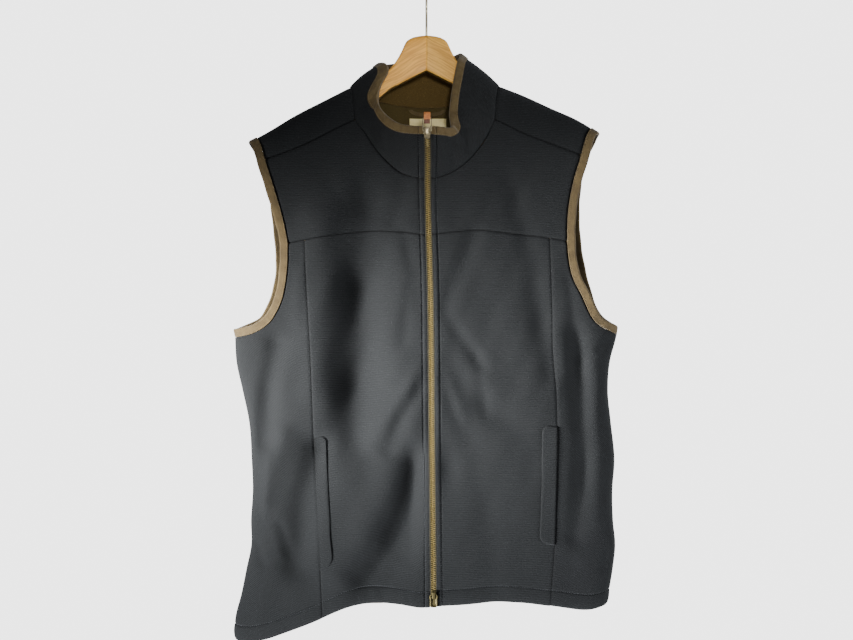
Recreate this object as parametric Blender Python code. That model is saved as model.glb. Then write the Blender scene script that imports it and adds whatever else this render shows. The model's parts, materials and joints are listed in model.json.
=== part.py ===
"""Sleeveless zip-front gilet hanging on a mitred wooden coat hanger.

The frame is metres in Blender, +Z up, and the tables and sizes below are millimetres. The origin is
the inside of the hook's crown, where a rail holds the hanger. The front of the garment faces -Y,
and +X is the wearer's left.

Every cloth panel lies on one body surface. A point of it is told by the side that it is on, an angle
round the body and its drop below the shoulder ridge, so neighbours share their seam points exactly.
"""

import math
from collections import namedtuple

import bmesh
import bpy
import numpy as np

MM = 0.001
FRONT = 1.0
BACK = -1.0
RIGHT = -1
LEFT = 1

# Driving sizes in millimetres
CLOTH = 2.4
HEM_CLOTH = 4.4
SEAM_GAP = 0.46
LAY_GAP = 0.35
LABEL_GAP = 0.9
FRONT_DEPTH = 70.0
BACK_DEPTH = 62.0
FRONT_EASE = 100.0
BACK_EASE = 70.0
SIDE_POWER = 0.8
TAPER_DROP = 170.0
RIDGE_SWEEP = 0.114
RIDGE_BEND = 20.0
SWEEP_FADE = 60.0
BINDING_WIDTH = 12.0
BINDING_PROUD = 0.9
BINDING_START = 0.864
BINDING_THICK = 4.3
LINING = 2.0
COLLAR_BULGE = 4.0
COLLAR_MIDDLE_X = -8.0
COLLAR_CLOTH_TOP = 0.85
COLLAR_FOOT = 0.008
WELT_WIDTH_SHARE = 0.125
WELT_THICK = 1.8
WELT_GAP = 0.6
WELT_CORNER = 9.0
ZIP_HALF_OPENING = 5.0
CHAIN_HALF_WIDTH = 3.2
CHAIN_PROUD = 0.3
CHAIN_THICK = 2.6
ZIP_TOP = 0.84
TAPE_GAP = 0.45
TAPE_THICK = 0.9
HANGER_HALF_THICK = 7.0
HOOK_WIRE = 3.2
HOOK_RADIUS = 21.6
SOCKET_DEPTH = 14.0

# Outlines, each a short table with named columns
Ridge = namedtuple("Ridge", "x z")
RIDGE = [
    Ridge(-320, -240), Ridge(-253, -217), Ridge(-242, -212), Ridge(-182, -176), Ridge(-139, -153),
    Ridge(-110, -137.5), Ridge(-60, -111), Ridge(-25, -93), Ridge(0, -87), Ridge(25, -94),
    Ridge(60, -112), Ridge(104, -135), Ridge(134, -147.5), Ridge(178, -168.5), Ridge(213, -185),
    Ridge(236, -199), Ridge(250, -208), Ridge(320, -238),
]

Side = namedtuple("Side", "z right left")
SIDES = [
    Side(-940, -275, 254), Side(-893, -274, 257), Side(-864, -266.5, 261), Side(-825, -258.5, 267.5),
    Side(-790, -251.5, 271), Side(-757, -252, 268), Side(-713, -249.5, 267), Side(-670, -251, 270),
    Side(-613, -255, 264.5), Side(-570, -264, 260.5), Side(-528, -273, 263.5), Side(-491, -275, 273),
    Side(-420, -276, 276), Side(-80, -276, 276),
]

Level = namedtuple("Level", "z x")
ZIP_LINE = [Level(-900, 10), Level(-843, 9.7), Level(-620, 7.4), Level(-407, 5), Level(-324, 2.5),
            Level(-220, 1), Level(-190, 0.6)]
PRINCESS = {
    RIGHT: [Level(-930, -145), Level(-881, -146), Level(-818, -149), Level(-726, -154), Level(-635, -159),
            Level(-577, -160.5), Level(-511, -163), Level(-431, -168), Level(-362, -171.5)],
    LEFT: [Level(-930, 172), Level(-867, 173), Level(-782, 179), Level(-700, 181.5), Level(-617, 183),
           Level(-563, 181.5), Level(-511, 177), Level(-456, 176), Level(-354, 173)],
}

Edge = namedtuple("Edge", "x z")
FORWARD_SEAM = [Edge(-227, -243), Edge(-194, -231.5), Edge(-161, -217), Edge(-132, -202), Edge(-100, -187),
                Edge(96, -187), Edge(135.5, -206), Edge(177, -222), Edge(217, -237)]
NECK_SEAM = [Edge(-100, -187), Edge(-86, -207), Edge(-71, -229), Edge(-53, -249), Edge(-35, -263),
             Edge(-10, -270), Edge(16, -269.5), Edge(32, -264), Edge(53, -251), Edge(71, -232),
             Edge(86, -210), Edge(96, -187)]
YOKE_SEAM = [Edge(-195, -361), Edge(-171.5, -357), Edge(-130, -350), Edge(-73, -344), Edge(-30, -346.5),
             Edge(0, -350), Edge(30, -347), Edge(73, -343.5), Edge(120, -348), Edge(173, -354),
             Edge(198, -358)]
ARMHOLE_FRONT = {
    RIGHT: [Edge(-195, -361), Edge(-196, -400), Edge(-208, -452), Edge(-221, -472.5), Edge(-243, -487),
            Edge(-275, -494)],
    LEFT: [Edge(198, -358), Edge(200, -382), Edge(206, -410), Edge(218, -433), Edge(240, -473),
           Edge(274, -491)],
}
ARMHOLE_YOKE = {
    RIGHT: [Edge(-227, -243), Edge(-214, -285), Edge(-205, -316), Edge(-198, -345), Edge(-195, -361)],
    LEFT: [Edge(217, -237), Edge(206, -276.5), Edge(199.5, -316), Edge(198, -340), Edge(198, -358)],
}
ARMHOLE_BACK = {
    RIGHT: [Edge(-242, -212), Edge(-222, -262), Edge(-216, -306), Edge(-211, -353), Edge(-210, -404),
            Edge(-218, -440), Edge(-236, -474), Edge(-275, -494)],
    LEFT: [Edge(236, -199), Edge(219, -245), Edge(213, -290), Edge(214, -349), Edge(220, -390),
           Edge(230, -430), Edge(245, -467), Edge(274, -491)],
}
BACK_NECK = [Edge(-110, -137.5), Edge(-96, -141), Edge(-74, -147), Edge(-45, -152), Edge(0, -155),
             Edge(45, -151), Edge(70, -145), Edge(91, -139), Edge(104, -135)]
HEM_FRONT = [Edge(-280, -925), Edge(-258, -925), Edge(-231, -920), Edge(-199, -908), Edge(-148, -886),
             Edge(-111, -870), Edge(-79, -863), Edge(-41, -863.5), Edge(-7, -868), Edge(17, -866),
             Edge(53, -864), Edge(101, -861), Edge(133, -863), Edge(178, -870), Edge(231, -878),
             Edge(258, -875), Edge(280, -874)]
HEM_BACK = [Edge(-280, -925), Edge(-258, -924), Edge(-180, -903), Edge(-90, -889), Edge(0, -885),
            Edge(110, -883), Edge(200, -880), Edge(258, -875), Edge(280, -874)]

# The collar's top edge, by station along the neck seam: 0 and 30 at the zip, 15 at the back
Ring = namedtuple("Ring", "station x y z")
COLLAR_TOP = [
    Ring(0, 5.6, -59, -204), Ring(2, 24, -58, -205), Ring(4, 43, -50, -203), Ring(5, 48, -40, -180),
    Ring(6, 49, -31, -152), Ring(7, 50, -24, -126), Ring(8, 51, -16, -99), Ring(9, 50, 0, -87),
    Ring(12, 34, 38, -83), Ring(15, -6, 50, -86), Ring(18, -48, 39, -92), Ring(21, -69, 4, -100),
    Ring(22, -74, -18, -107), Ring(23, -77, -27, -132), Ring(24, -78, -33, -156), Ring(25, -73, -40, -178),
    Ring(27, -54, -52, -197), Ring(28, -36, -57, -203), Ring(30, -4.4, -59, -204),
]
LAST_STATION = 30

# Main folds: depth is into the body where positive, and a raised roll where negative
Fold = namedtuple("Fold", "face width depth path")
FOLDS = [
    Fold(FRONT, 17, 5, [(-106, -337), (-113, -483), (-133, -608)]),
    Fold(FRONT, 19, 9, [(-16, -640), (-46, -698), (-72, -750), (-87, -816), (-124, -868)]),
    Fold(FRONT, 22, -5, [(-20, -545), (-124, -656)]),
    Fold(FRONT, 12, 3, [(-14, -595), (-52, -648)]),
    Fold(FRONT, 12, 2.5, [(-14, -526), (-44, -555)]),
    Fold(FRONT, 15, 6, [(-212, -512), (-226, -558), (-228, -630)]),
    Fold(FRONT, 14, -5, [(-206, -640), (-226, -718)]),
    Fold(FRONT, 14, 6, [(-183, -683), (-204, -750), (-196, -815)]),
    Fold(FRONT, 17, 7, [(192, -490), (206, -575), (220, -640), (214, -690), (203, -736), (200, -790),
                        (192, -850)]),
    Fold(FRONT, 14, -4, [(236, -560), (240, -740)]),
    Fold(FRONT, 16, 5, [(117, -297), (130, -358), (138, -411), (149, -470)]),
    Fold(FRONT, 14, 2.5, [(52, -368), (27, -432)]),
    Fold(FRONT, 14, 2.5, [(29, -472), (48, -505)]),
    Fold(FRONT, 18, 3.5, [(60, -640), (84, -740), (96, -850)]),
    Fold(BACK, 20, 6, [(-150, -300), (-120, -470), (-135, -660)]),
    Fold(BACK, 22, 7, [(150, -280), (128, -440), (140, -610), (120, -800)]),
    Fold(BACK, 24, -5, [(-20, -330), (-8, -560), (-30, -800)]),
    Fold(BACK, 18, 6, [(-205, -540), (-170, -700), (-190, -880)]),
    Fold(BACK, 18, 5, [(214, -520), (188, -690), (205, -850)]),
    Fold(BACK, 20, 6, [(60, -620), (44, -760), (66, -870)]),
    Fold(BACK, 16, 4, [(-70, -700), (-62, -870)]),
]
FOLD_SIDE_SHARE = 3.0
FOLD_RIDGE_DROP = 45.0
FOLD_ZIP_REACH = 34.0

# Panel grids: shares of a panel's width or height
CENTRE_COLUMNS = [0, 0.07, 0.19, 0.29, 0.39, 0.475, 0.55, 0.63, 0.75, 1 - WELT_WIDTH_SHARE, 1.0]
YOKE_TOP_X = [None, 17, 36, 54, 71, 86.5, None, 125, 150, 176, 203, None]
CORNER_COLUMN = 6
UNDERARM_SHARE = 0.25
UNDERARM_SHARES = UNDERARM_SHARE * np.array([0, 0.2, 0.4, 0.58, 0.73, 0.85, 0.93, 0.98, 1.0])
UNDERARM_ROW = len(UNDERARM_SHARES) - 1
HEM_BAND = 22.0
HEM_ROWS = 2
WELT_SPAN = {RIGHT: (0.528, 0.873), LEFT: (0.513, 0.834)}
ROWS_ABOVE_WELT = 5
ROWS_ON_WELT = 7
ROWS_BELOW_WELT = 3
SIDE_COLUMNS = 6
YOKE_ROWS = 5
STRAP_ROWS = 3
BACK_NECK_COLUMNS = 12
BACK_TOP_REACH = 0.39
BACK_UPPER_SHARES = np.array([0, 0.01, 0.04, 0.11, 0.24, 0.38, 0.52, 0.65, 0.77, 0.87, 0.94, 0.98, 1.0])
BACK_UPPER_ROWS = len(BACK_UPPER_SHARES) - 1
COLLAR_ROWS = 5


def column(rows, name):
    """One named column of a table as an array."""
    return np.array([getattr(row, name) for row in rows], dtype=float)


def smooth(position, stations, values):
    """Cubic curve through a table's values, level beyond its ends."""
    slopes = np.gradient(values, stations)
    position = np.clip(np.asarray(position, dtype=float), stations[0], stations[-1])
    index = np.clip(np.searchsorted(stations, position, side="right") - 1, 0, len(stations) - 2)
    step = stations[index + 1] - stations[index]
    t = (position - stations[index]) / step
    rise = values[index + 1] - values[index]
    start = slopes[index] * step
    end = slopes[index + 1] * step
    return values[index] + t * (start + t * (3 * rise - 2 * start - end + t * (start + end - 2 * rise)))


def curve_of(rows, over, value):
    """A table as a function of one of its columns, which rises down the table."""
    stations = column(rows, over)
    values = column(rows, value)
    return lambda position: smooth(position, stations, values)


ridge_z = curve_of(RIDGE, "x", "z")
side_right = curve_of(SIDES, "z", "right")
side_left = curve_of(SIDES, "z", "left")
zip_x = curve_of(ZIP_LINE, "z", "x")
neck_z = curve_of(NECK_SEAM, "x", "z")
forward_z = curve_of(FORWARD_SEAM, "x", "z")
yoke_z = curve_of(YOKE_SEAM, "x", "z")
back_neck_z = curve_of(BACK_NECK, "x", "z")
hem_front_z = curve_of(HEM_FRONT, "x", "z")
hem_back_z = curve_of(HEM_BACK, "x", "z")


def smoothstep(value):
    """0 to 1 with level ends."""
    value = np.clip(value, 0.0, 1.0)
    return value * value * (3 - 2 * value)


def middle_and_half(z):
    """The body's middle and half width at a height."""
    right = side_right(z)
    left = side_left(z)
    return (left + right) / 2, (left - right) / 2


def ridge_y(x):
    """The shoulder ridge swings forward towards the arms, as the hanger does."""
    return -RIDGE_SWEEP * (np.sqrt(x * x + RIDGE_BEND ** 2) - RIDGE_BEND)


def fold_depth(x, z, facing):
    """Sum of the folds: each is a soft trough round the line through its points."""
    total = np.zeros_like(x)
    for fold in FOLDS:
        nearest = np.full_like(x, 1e9)
        for (x0, z0), (x1, z1) in zip(fold.path[:-1], fold.path[1:]):
            length_squared = (x1 - x0) ** 2 + (z1 - z0) ** 2
            t = np.clip(((x - x0) * (x1 - x0) + (z - z0) * (z1 - z0)) / length_squared, 0, 1)
            nearest = np.minimum(nearest, np.hypot(x - x0 - t * (x1 - x0), z - z0 - t * (z1 - z0)))
        shape = fold.depth * np.exp(-(nearest / fold.width) ** 2)
        total += np.where(facing * fold.face > 0, shape, 0.0)
    return total


def body_point(angle, root, face):
    """A point of the body's outer surface.

    angle turns from the middle of the face to its side at a right angle, and root is the square
    root of the drop below the ridge, less than nothing past the ridge on the other face.
    """
    drop = root * root
    turn = np.cos(angle)
    facing = face * np.sign(turn) * np.where(root < 0, -1.0, 1.0)
    z = -200.0 - drop
    for _ in range(8):
        middle, half = middle_and_half(z)
        x = middle + half * np.sin(angle)
        z = ridge_z(x) - drop
    full = np.where(facing > 0, FRONT_DEPTH, BACK_DEPTH)
    ease = np.where(facing > 0, FRONT_EASE, BACK_EASE)
    depth = full * (1 - np.exp(-np.abs(root) / np.sqrt(ease)))
    taper = 1 - (1 - np.abs(turn) ** SIDE_POWER) * smoothstep(drop / TAPER_DROP)
    reach = np.clip(np.abs(turn) * FOLD_SIDE_SHARE, 0, 1) * smoothstep(drop / FOLD_RIDGE_DROP)
    near_zip = np.where(facing > 0, smoothstep(np.abs(x - zip_x(z)) / FOLD_ZIP_REACH), 1.0)
    depth = depth * taper - fold_depth(x, z, facing) * reach * near_zip
    y = ridge_y(x) * np.exp(-drop / SWEEP_FADE) - facing * depth
    return np.stack([x, y, z], axis=-1)


def body_surface(angle, root, face):
    """Points and outward normals of the body at arrays of angle and root."""
    step_angle = 0.01
    step_root = 0.02
    across = body_point(angle + step_angle, root, face) - body_point(angle - step_angle, root, face)
    down = body_point(angle, root + step_root, face) - body_point(angle, root - step_root, face)
    normal = -face * np.cross(across, down)
    normal /= np.linalg.norm(normal, axis=-1, keepdims=True)
    return body_point(angle, root, face), normal


def angle_at(x, z):
    """The angle of a point with this x at this height."""
    middle, half = middle_and_half(z)
    return np.arcsin(np.clip((x - middle) / half, -1, 1))


def surface_from_heights(angle_and_z, face):
    """Body surface on a grid given as angles and heights."""
    angle = angle_and_z[..., 0]
    z = angle_and_z[..., 1]
    middle, half = middle_and_half(z)
    root = np.sqrt(np.maximum(ridge_z(middle + half * np.sin(angle)) - z, 0.0))
    return body_surface(angle, root, face)


def along(edges, shares):
    """Points at shares of the length of a smooth line through a table of edges."""
    xs = column(edges, "x")
    zs = column(edges, "z")
    length = np.concatenate([[0.0], np.cumsum(np.hypot(np.diff(xs), np.diff(zs)))])
    at = np.asarray(shares) * length[-1]
    return np.stack([smooth(at, length, xs), smooth(at, length, zs)], axis=-1)


def to_angles(points):
    """Turns x and z into angle and z."""
    return np.stack([angle_at(points[..., 0], points[..., 1]), points[..., 1]], axis=-1)


def fill(top, bottom, inner, outer, top_reach=1.0):
    """Grid between four edges: rows run from top to bottom, columns from inner to outer.

    Each row runs straight between the two side edges, plus what is left there of the shape of the
    top edge, which fades out over top_reach of the height, and of the bottom edge.
    """
    u = (top[:, 0] - top[0, 0]) / (top[-1, 0] - top[0, 0])
    v = (inner[:, 1] - inner[0, 1]) / (inner[-1, 1] - inner[0, 1])
    u = u[None, :, None]
    v = v[:, None, None]
    top_shape = top[None] - ((1 - u) * top[0] + u * top[-1])
    bottom_shape = bottom[None] - ((1 - u) * bottom[0] + u * bottom[-1])
    sides = (1 - u) * inner[:, None] + u * outer[:, None]
    return sides + np.clip(1 - v / top_reach, 0, 1) * top_shape + v * bottom_shape


def row_shares(side):
    """Shares of the height from the yoke seam to the hem, at the princess seam."""
    top, bottom = WELT_SPAN[side]
    hem_line = 1 - HEM_BAND / 520.0
    parts = [
        UNDERARM_SHARES,
        np.linspace(UNDERARM_SHARE, top, ROWS_ABOVE_WELT + 1)[1:],
        np.linspace(top, bottom, ROWS_ON_WELT + 1)[1:],
        np.linspace(bottom, hem_line, ROWS_BELOW_WELT + 1)[1:],
        [1.0],
    ]
    return np.concatenate(parts)


def princess_x(side, z):
    """The princess seam's x at a height."""
    rows = PRINCESS[side]
    return smooth(z, column(rows, "z"), column(rows, "x"))


def cross_columns(x_of_row, z_top, z_bottom, shares):
    """Points down a line: its height runs between two ends by shares, its x follows a function."""
    z = z_top + (z_bottom - z_top) * shares
    return np.stack([x_of_row(z), z], axis=-1)


def zip_edge_x(side):
    """x of a panel's edge along the zip."""
    return lambda z: zip_x(z) + side * ZIP_HALF_OPENING


def centre_grid(side):
    """Front centre panel, from the zip to the princess seam."""
    shares = row_shares(side)
    widths = np.array(CENTRE_COLUMNS)
    zip_edge = zip_edge_x(side)
    top_x = zip_edge(-350) + (princess_x(side, -355) - zip_edge(-350)) * widths
    bottom_x = zip_edge(-867) + (princess_x(side, -875) - zip_edge(-867)) * widths
    top = np.stack([top_x, yoke_z(top_x)], axis=-1)
    bottom = np.stack([bottom_x, hem_front_z(bottom_x)], axis=-1)
    inner = cross_columns(zip_edge, top[0, 1], bottom[0, 1], shares)
    outer = cross_columns(lambda z: princess_x(side, z), top[-1, 1], bottom[-1, 1], shares)
    inner[0], inner[-1] = top[0], bottom[0]
    outer[0], outer[-1] = top[-1], bottom[-1]
    return fill(to_angles(top), to_angles(bottom), to_angles(inner), to_angles(outer))


def side_seam(side, hem_z, shares):
    """Angle and z down the side seam from the underarm, which both faces share."""
    underarm = ARMHOLE_FRONT[side][-1].z
    part = (shares - UNDERARM_SHARE) / (1 - UNDERARM_SHARE)
    z = underarm + (hem_z - underarm) * part
    return np.stack([np.full_like(z, side * math.pi / 2), z], axis=-1)


def hem_side_z(side):
    """Height of the hem at a side seam."""
    return float(hem_front_z(side * 275.0))


def side_grid(side, centre):
    """Front side panel, from the princess seam to the armhole and the side seam."""
    shares = row_shares(side)
    inner = centre[:, -1]
    armhole = to_angles(along(ARMHOLE_FRONT[side], UNDERARM_SHARES / UNDERARM_SHARE))
    armhole[-1, 0] = side * math.pi / 2
    outer = np.concatenate([armhole, side_seam(side, hem_side_z(side), shares[UNDERARM_ROW + 1:])])
    top_angle = np.linspace(inner[0, 0], outer[0, 0], SIDE_COLUMNS)
    top_x = np.linspace(princess_x(side, -355), ARMHOLE_FRONT[side][0].x, SIDE_COLUMNS)
    top = to_angles(np.stack([top_x, yoke_z(top_x)], axis=-1))
    top[0], top[-1] = inner[0], outer[0]
    bottom_angle = inner[-1, 0] + (outer[-1, 0] - inner[-1, 0]) * np.linspace(0, 1, SIDE_COLUMNS)
    middle, half = middle_and_half(-890.0)
    bottom = np.stack([bottom_angle, hem_front_z(middle + half * np.sin(bottom_angle))], axis=-1)
    bottom[0], bottom[-1] = inner[-1], outer[-1]
    top[:, 0] = top_angle
    return fill(top, bottom, inner, outer)


def yoke_grid(side, centre):
    """Chest yoke, from the forward shoulder seam and the neck down to the yoke seam."""
    bottom = np.concatenate([centre[0], to_angles(np.array([[ARMHOLE_FRONT[side][0].x,
                                                             ARMHOLE_FRONT[side][0].z]]))])
    corner_x = FORWARD_SEAM[4 if side == RIGHT else 5].x
    tip_x = ARMHOLE_YOKE[side][0].x
    top_x = np.array([0.0 if x is None else side * x for x in YOKE_TOP_X])
    top_x[0] = zip_edge_x(side)(-270)
    top_x[CORNER_COLUMN] = corner_x
    top_x[-1] = tip_x
    outward = np.arange(len(top_x)) > CORNER_COLUMN
    top_z = np.where(outward, forward_z(top_x), neck_z(top_x))
    top = to_angles(np.stack([top_x, top_z], axis=-1))
    shares = np.linspace(0, 1, YOKE_ROWS)
    inner = to_angles(cross_columns(zip_edge_x(side), top[0, 1], bottom[0, 1], shares))
    outer = to_angles(along(ARMHOLE_YOKE[side], shares))
    inner[0], inner[-1] = top[0], bottom[0]
    outer[0], outer[-1] = top[-1], bottom[-1]
    return fill(top, bottom, inner, outer)


def neck_height(side):
    """x of the high point of the shoulder beside the neck."""
    return BACK_NECK[0 if side == RIGHT else -1].x


def strap_top_x(side):
    """x along the ridge above each column of the forward shoulder seam."""
    tip = ARMHOLE_BACK[side][0].x
    count = len(YOKE_TOP_X) - CORNER_COLUMN
    return np.linspace(neck_height(side), tip, count)


def back_grid():
    """Back below the ridge, columns from the wearer's right to left."""
    right_ridge = strap_top_x(RIGHT)[::-1]
    left_ridge = strap_top_x(LEFT)
    neck_x = np.linspace(neck_height(RIGHT), neck_height(LEFT), BACK_NECK_COLUMNS + 1)[1:-1]
    top_x = np.concatenate([right_ridge, neck_x, left_ridge])
    on_neck = (np.arange(len(top_x)) >= len(right_ridge)) & (np.arange(len(top_x)) <
                                                             len(right_ridge) + len(neck_x))
    top = to_angles(np.stack([top_x, np.where(on_neck, back_neck_z(top_x), ridge_z(top_x))], axis=-1))
    edges = {}
    for side in (RIGHT, LEFT):
        armhole = to_angles(along(ARMHOLE_BACK[side], BACK_UPPER_SHARES))
        armhole[-1, 0] = side * math.pi / 2
        lower = side_seam(side, hem_side_z(side), row_shares(side)[UNDERARM_ROW + 1:])
        edges[side] = np.concatenate([armhole, lower])
    edges[RIGHT][0], edges[LEFT][0] = top[0], top[-1]
    bottom_angle = np.linspace(edges[RIGHT][-1, 0], edges[LEFT][-1, 0], len(top_x))
    middle, half = middle_and_half(-890.0)
    bottom = np.stack([bottom_angle, hem_back_z(middle + half * np.sin(bottom_angle))], axis=-1)
    bottom[0], bottom[-1] = edges[RIGHT][-1], edges[LEFT][-1]
    return fill(top, bottom, edges[RIGHT], edges[LEFT], BACK_TOP_REACH)


def strap_surface(side, yoke):
    """The back's part over the shoulder, from the ridge forward to the forward seam."""
    seam = yoke[0, CORNER_COLUMN:]
    middle, half = middle_and_half(seam[:, 1])
    seam_root = -np.sqrt(ridge_z(middle + half * np.sin(seam[:, 0])) - seam[:, 1])
    ridge_x = strap_top_x(side)
    ridge_angle = angle_at(ridge_x, ridge_z(ridge_x))
    shares = np.linspace(0, 1, STRAP_ROWS + 1)[:, None]
    angle = ridge_angle + (seam[:, 0] - ridge_angle) * shares
    root = seam_root * shares
    return body_surface(angle, root, BACK)


# Building meshes

def clear_scene():
    """Removes whatever the scene holds."""
    for item in list(bpy.data.objects):
        bpy.data.objects.remove(item, do_unlink=True)


def make_material(name, colour, roughness, metallic=0.0):
    """A plain Principled material."""
    material = bpy.data.materials.new(name)
    material.use_nodes = True
    shader = material.node_tree.nodes["Principled BSDF"]
    shader.inputs["Base Color"].default_value = (*colour, 1.0)
    shader.inputs["Roughness"].default_value = roughness
    shader.inputs["Metallic"].default_value = metallic
    return material


def add_object(name, mesh, material, collection):
    """Puts a mesh into the part's collection under its name."""
    mesh.materials.append(material)
    piece = bpy.data.objects.new(name, mesh)
    collection.objects.link(piece)
    return piece


def mesh_from(name, vertices, faces, tidy=False):
    """A mesh from millimetre points; tidy turns its faces outward."""
    mesh = bpy.data.meshes.new(name)
    mesh.from_pydata((np.asarray(vertices) * MM).tolist(), [], faces)
    if tidy:
        shape = bmesh.new()
        shape.from_mesh(mesh)
        bmesh.ops.recalc_face_normals(shape, faces=shape.faces)
        shape.to_mesh(mesh)
        shape.free()
    mesh.update()
    return mesh


def join_patches(patches):
    """Joins grids that share edge points into one list of points, normals, walls and triangles."""
    points = np.concatenate([patch[0].reshape(-1, 3) for patch in patches])
    normals = np.concatenate([patch[1].reshape(-1, 3) for patch in patches])
    walls = np.concatenate([np.broadcast_to(patch[2], patch[0].shape[:2]).ravel() for patch in patches])
    triangles = []
    start = 0
    for grid, normal, _ in patches:
        rows, columns = grid.shape[:2]
        index = start + np.arange(rows * columns).reshape(rows, columns)
        a, b = index[:-1, :-1].ravel(), index[1:, :-1].ravel()
        c, d = index[1:, 1:].ravel(), index[:-1, 1:].ravel()
        patch = np.concatenate([np.stack([a, b, c], axis=-1), np.stack([a, c, d], axis=-1)])
        face_normal = np.cross(points[patch[:, 1]] - points[patch[:, 0]],
                               points[patch[:, 2]] - points[patch[:, 0]])
        inward = np.sum(face_normal * normals[patch[:, 0]]) < 0
        triangles.append(patch[:, ::-1] if inward else patch)
        start += rows * columns
    triangles = np.concatenate(triangles)
    _, first, same = np.unique(np.round(points, 3), axis=0, return_index=True, return_inverse=True)
    triangles = same.ravel()[triangles]
    points, normals, walls = points[first], normals[first], walls[first]
    return points, normals, walls, triangles


def wall(name, patches, material, collection):
    """A closed cloth wall: outer faces, inner faces one thickness in, and a rim, set back at its edge."""
    points, normals, walls, triangles = join_patches(patches)
    directed = {(int(t[k]), int(t[(k + 1) % 3])) for t in triangles for k in range(3)}
    rim = sorted(edge for edge in directed if edge[::-1] not in directed)
    inward = np.zeros_like(points)
    for start, end in rim:
        run = points[end] - points[start]
        for corner in (start, end):
            turn = np.cross(normals[corner], run)
            inward[corner] += turn / np.linalg.norm(turn)
    size = np.linalg.norm(inward, axis=1)
    moved = size > 0
    share = SEAM_GAP / np.maximum(size[moved], 1.0) / size[moved]
    points = points.copy()
    points[moved] += inward[moved] * share[:, None]
    inside = points - normals * walls[:, None]
    count = len(points)
    faces = triangles.tolist()
    faces += (triangles[:, ::-1] + count).tolist()
    faces += [[end, start, start + count, end + count] for start, end in rim]
    mesh = mesh_from(name, np.concatenate([points, inside]), faces)
    return add_object(name, mesh, material, collection)


def loft(name, rings, closed, material, collection):
    """A solid through rings of points: closed joins the last ring to the first, else both are capped."""
    rings = np.asarray(rings)
    count, size = rings.shape[:2]
    faces = []
    for k in range(count if closed else count - 1):
        here = k * size
        there = ((k + 1) % count) * size
        faces += [[here + j, here + (j + 1) % size, there + (j + 1) % size, there + j] for j in range(size)]
    if not closed:
        faces.append(list(range(size)))
        faces.append(list(range((count - 1) * size, count * size)))
    mesh = mesh_from(name, rings.reshape(-1, 3), faces, tidy=True)
    return add_object(name, mesh, material, collection)


def frame_along(points, normals, closed):
    """Directions across a line that lies on a surface, longer at a corner as in a mitre."""
    ahead = np.roll(points, -1, axis=0) - points
    behind = np.roll(ahead, 1, axis=0)
    if not closed:
        ahead[-1] = behind[-1]
        behind[0] = ahead[0]
    total = np.zeros_like(points)
    for run in (ahead, behind):
        turn = np.cross(normals, run)
        total += turn / np.linalg.norm(turn, axis=1, keepdims=True)
    return total * 2 / np.sum(total * total, axis=1, keepdims=True)


def ribbon(name, points, normals, section, flip, closed, material, collection):
    """A band beside a line on a surface; section lists its corners as across and above in millimetres."""
    across = frame_along(points, normals, closed) * flip
    rings = [[point + side * a + normal * b for a, b in section]
             for point, side, normal in zip(points, across, normals)]
    return loft(name, rings, closed, material, collection)


# The garment's pieces

def hem_walls(shape):
    """Cloth thickness over a panel: doubled where the hem is turned up."""
    walls = np.full(shape, CLOTH)
    walls[-HEM_ROWS:] = HEM_CLOTH
    return walls


def garment_surfaces():
    """Points and normals of the fronts, yokes, shoulder parts and back, before they get a wall."""
    surfaces = {}
    for side in (RIGHT, LEFT):
        centre = centre_grid(side)
        yoke = yoke_grid(side, centre)
        flank = side_grid(side, centre)
        for key, grid in (("centre", centre), ("side", flank), ("yoke", yoke)):
            surfaces[key, side] = surface_from_heights(grid, FRONT)
        surfaces["strap", side] = strap_surface(side, yoke)
    surfaces["back", 0] = surface_from_heights(back_grid(), BACK)
    count = len(YOKE_TOP_X) - CORNER_COLUMN
    for kind in range(2):
        back = surfaces["back", 0][kind]
        surfaces["strap", RIGHT][kind][0] = back[0, :count][::-1]
        surfaces["strap", LEFT][kind][0] = back[0, -count:]
    return surfaces


def neck_stretches(surfaces, kind):
    """The neck seam's points or normals on each piece, with the station where each stretch starts."""
    first = len(YOKE_TOP_X) - CORNER_COLUMN - 1
    stretches = [
        surfaces["yoke", LEFT][kind][0, :CORNER_COLUMN + 1],
        surfaces["strap", LEFT][kind][::-1, 0],
        surfaces["back", 0][kind][0, first:-first][::-1],
        surfaces["strap", RIGHT][kind][:, 0],
        surfaces["yoke", RIGHT][kind][0, :CORNER_COLUMN + 1][::-1],
    ]
    station = 0
    for stretch in stretches:
        yield station, stretch
        station += len(stretch) - 1


def neck_line(surfaces, kind):
    """The neck seam, from the zip round the wearer's left to the back and the right."""
    line = np.zeros((LAST_STATION + 1, 3))
    for station, stretch in neck_stretches(surfaces, kind):
        line[station:station + len(stretch)] = stretch
    return line


def share_neck_normals(surfaces, collar_foot):
    """Gives the panels and the collar one normal along their seam, so that their walls meet flush."""
    shared = neck_line(surfaces, 1) + collar_foot
    shared /= np.linalg.norm(shared, axis=-1, keepdims=True)
    for station, stretch in neck_stretches(surfaces, 1):
        stretch[:] = shared[station:station + len(stretch)]
    return shared


def build_panels(surfaces, cloth, collection):
    """Walls of the fronts, yokes and back."""
    for side, word in ((RIGHT, "right"), (LEFT, "left")):
        for key in ("centre", "side", "yoke"):
            points, normals = surfaces[key, side]
            thickness = CLOTH if key == "yoke" else hem_walls(points.shape[:2])
            wall(f"front_{word}_{key}", [(points, normals, thickness)], cloth, collection)
    points, normals = surfaces["back", 0]
    pieces = [(points, normals, hem_walls(points.shape[:2]))]
    pieces += [(*surfaces["strap", side], CLOTH) for side in (RIGHT, LEFT)]
    wall("back", pieces, cloth, collection)


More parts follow.
